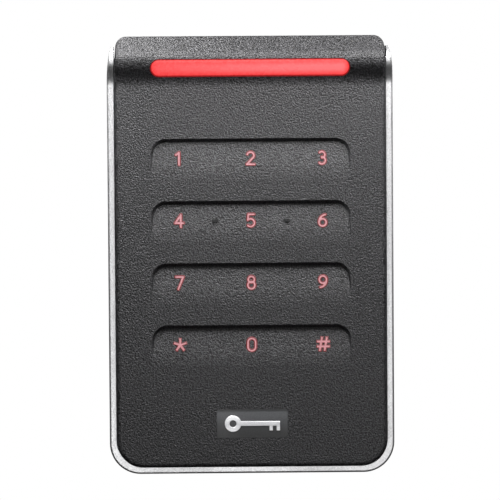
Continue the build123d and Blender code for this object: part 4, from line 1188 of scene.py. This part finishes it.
def plug_ribs():
    """Raised ribs between the ways of the terminal plug, and guide ribs of the link plug."""
    low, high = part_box("terminal_plug")
    ways = [(start.x + end.x) / 2 for start, end in islands("terminal_screws")]
    margin = 0.08 * (high.z - low.z)
    half = Vector((0.16, 0.1, 0)) * MM
    bars = []
    for first, second in zip(ways, ways[1:]):
        x = (first + second) / 2
        foot, top = Vector((x, high.y, low.z + margin)), Vector((x, high.y, high.z - margin))
        bars.append((foot - half, top + half))
    block_piece("plug_ribs", bars, 0.07 * MM, TERMINAL_GREEN, body="plug")
    low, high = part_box("board_link_plug")
    half_width, sunk, proud, end_gap = 0.25 * MM, 0.1 * MM, 0.12 * MM, 0.2 * MM
    bars = []
    for way in range(LINK_WAYS):
        x = low.x + (way + 0.5) * (high.x - low.x) / LINK_WAYS
        bars.append((
            Vector((x - half_width, low.y + end_gap, high.z - sunk)),
            Vector((x + half_width, high.y - end_gap, high.z + proud)),
        ))
    block_piece("link_ribs", bars, 0.05 * MM, CONNECTOR_BLACK)


def housing_marks():
    """Ejector rings and shallow ribs moulded on the back of the rear housing."""
    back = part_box("rear_housing")[1].y
    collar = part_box("terminal_header")
    above, below = collar[1].z / MM + 4.0, collar[0].z / MM - 3.5
    paths = [ring(x, z, 2.2) for x in (-17.5, 17.5) for z in (above + 12.0, below - 3.0)]
    for row in range(4):
        paths.append(on_board([(-12.0, above + 3.0 * row), (12.0, above + 3.0 * row)]))
    flat = path_base("housing_marks_base", paths)
    flat.transform(Matrix.Rotation(math.radians(90), 4, "X"))
    grow(
        "housing_marks", flat, BEAD, HOUSING_BLACK, "reader", "housing_black",
        shift=(0, back, 0), Radius=0.14 * MM, Sides=8,
    )


glowing_rims()
chips()
capacitors()
lamps()
metal_cans()
antenna_coil()
board_tracks()
solder_joints()
plug_ribs()
housing_marks()


# ---- floor, light and camera ----------------------------------------------------------------
def soft_box(name, place, target, size, power):
    """Rectangular studio light that faces a point."""
    light = bpy.data.lights.new(name, "AREA")
    light.shape = "RECTANGLE"
    light.size, light.size_y = size
    light.energy = power
    holder = bpy.data.objects.new(name, light)
    bpy.context.scene.collection.objects.link(holder)
    holder.location = place
    holder.visible_camera = False
    holder.rotation_euler = (target - place).to_track_quat("-Z", "Y").to_euler()


LIGHTS = {
    # name: place from the middle of the reader, size, power; in metres and watts
    "near_left": ((-0.07, -0.076, 0.115), (0.12, 0.04), 0.215),
    "near_right": ((0.07, -0.076, 0.115), (0.12, 0.04), 0.295),
    "top_left": ((-0.055, -0.02, 0.125), (0.05, 0.02), 0.12),
    "high_key": ((-0.1, -0.35, 0.6), (0.5, 0.3), 2.3),
    "front_left": ((-0.3, -1.3, -0.05), (0.5, 0.8), 0.65),
    "front_right": ((0.3, -1.3, -0.05), (0.5, 0.8), 0.8),
    "front_low": ((0.0, -1.2, -0.3), (0.8, 0.3), 1.7),
    "behind": ((0.6, 1.2, 0.5), (1.2, 1.2), 6.0),
}
SURROUND = 0.08
FLOOR_DROP, FLOOR_REACH, FLOOR_BACK = 0.12, 0.55, 0.3


def studio():
    """Plain pale floor below the reader, white surround and soft lights."""
    low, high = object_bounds()
    mesh = bpy.data.meshes.new("floor")
    corners = (
        (-FLOOR_REACH, -FLOOR_REACH), (FLOOR_REACH, -FLOOR_REACH),
        (FLOOR_REACH, FLOOR_BACK), (-FLOOR_REACH, FLOOR_BACK),
    )
    mesh.from_pydata([(x, y, low.z - FLOOR_DROP) for x, y in corners], [], [(0, 1, 2, 3)])
    floor = bpy.data.objects.new("floor", mesh)
    bpy.context.scene.collection.objects.link(floor)
    material, shader = new_material("floor_pale")
    shader.inputs["Base Color"].default_value = (0.86, 0.86, 0.86, 1)
    shader.inputs["Roughness"].default_value = 0.9
    mesh.materials.append(material)
    floor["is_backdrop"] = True
    for ray in ("visible_diffuse", "visible_glossy", "visible_shadow"):
        setattr(floor, ray, False)
    surround()
    middle = (low + high) / 2
    for name, (place, size, power) in LIGHTS.items():
        soft_box(name, middle + Vector(place), middle, size, power)


def surround():
    """White to the camera; to the reader it is bright above, grey ahead and dark below."""
    world = bpy.data.worlds.new("studio")
    bpy.context.scene.world = world
    world.use_nodes = True
    tree = world.node_tree
    lit = tree.nodes["Background"]
    lit.inputs["Strength"].default_value = SURROUND
    place = tree.nodes.new("ShaderNodeTexCoord")
    split = tree.nodes.new("ShaderNodeSeparateXYZ")
    tree.links.new(place.outputs["Generated"], split.inputs[0])
    height = add_node(tree, "ShaderNodeMapRange", From_Min=-1.0)
    tree.links.new(split.outputs["Z"], height.inputs["Value"])
    sky = tones(world, height.outputs[0], (0.45, (0.02, 0.02, 0.02)), (0.95, (1, 1, 1)))
    tree.links.new(sky, lit.inputs["Color"])
    seen = add_node(tree, "ShaderNodeBackground", Strength=1.0)
    seen.inputs["Color"].default_value = (1, 1, 1, 1)
    ray = tree.nodes.new("ShaderNodeLightPath")
    mix = tree.nodes.new("ShaderNodeMixShader")
    tree.links.new(ray.outputs["Is Camera Ray"], mix.inputs["Fac"])
    tree.links.new(lit.outputs[0], mix.inputs[1])
    tree.links.new(seen.outputs[0], mix.inputs[2])
    tree.links.new(mix.outputs[0], tree.nodes["World Output"].inputs["Surface"])
    bpy.context.scene.view_settings.view_transform = "Standard"


AIM_SHIFT = Vector((-0.22, 0, 1.33)) * MM  # from the reader's middle
CAMERA_DISTANCE = 1.0
SEEN_WIDTH = 139.4 * MM
RAISED, ASIDE, ROLL = math.radians(2.8), math.radians(-1.0), math.radians(-0.4)


def camera():
    """Long lens, a little above and to the left of straight on."""
    low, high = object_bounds()
    data = bpy.data.cameras.new("camera")
    holder = bpy.data.objects.new("camera", data)
    bpy.context.scene.collection.objects.link(holder)
    level = math.cos(RAISED)
    direction = Vector((math.sin(ASIDE) * level, -math.cos(ASIDE) * level, math.sin(RAISED)))
    holder.location = (low + high) / 2 + AIM_SHIFT + direction * CAMERA_DISTANCE
    aim = (-direction).to_track_quat("-Z", "Y")
    holder.rotation_euler = (aim @ Matrix.Rotation(ROLL, 4, "Z").to_quaternion()).to_euler()
    data.sensor_width = 36
    data.lens = data.sensor_width * CAMERA_DISTANCE / SEEN_WIDTH
    bpy.context.scene.camera = holder


studio()
camera()
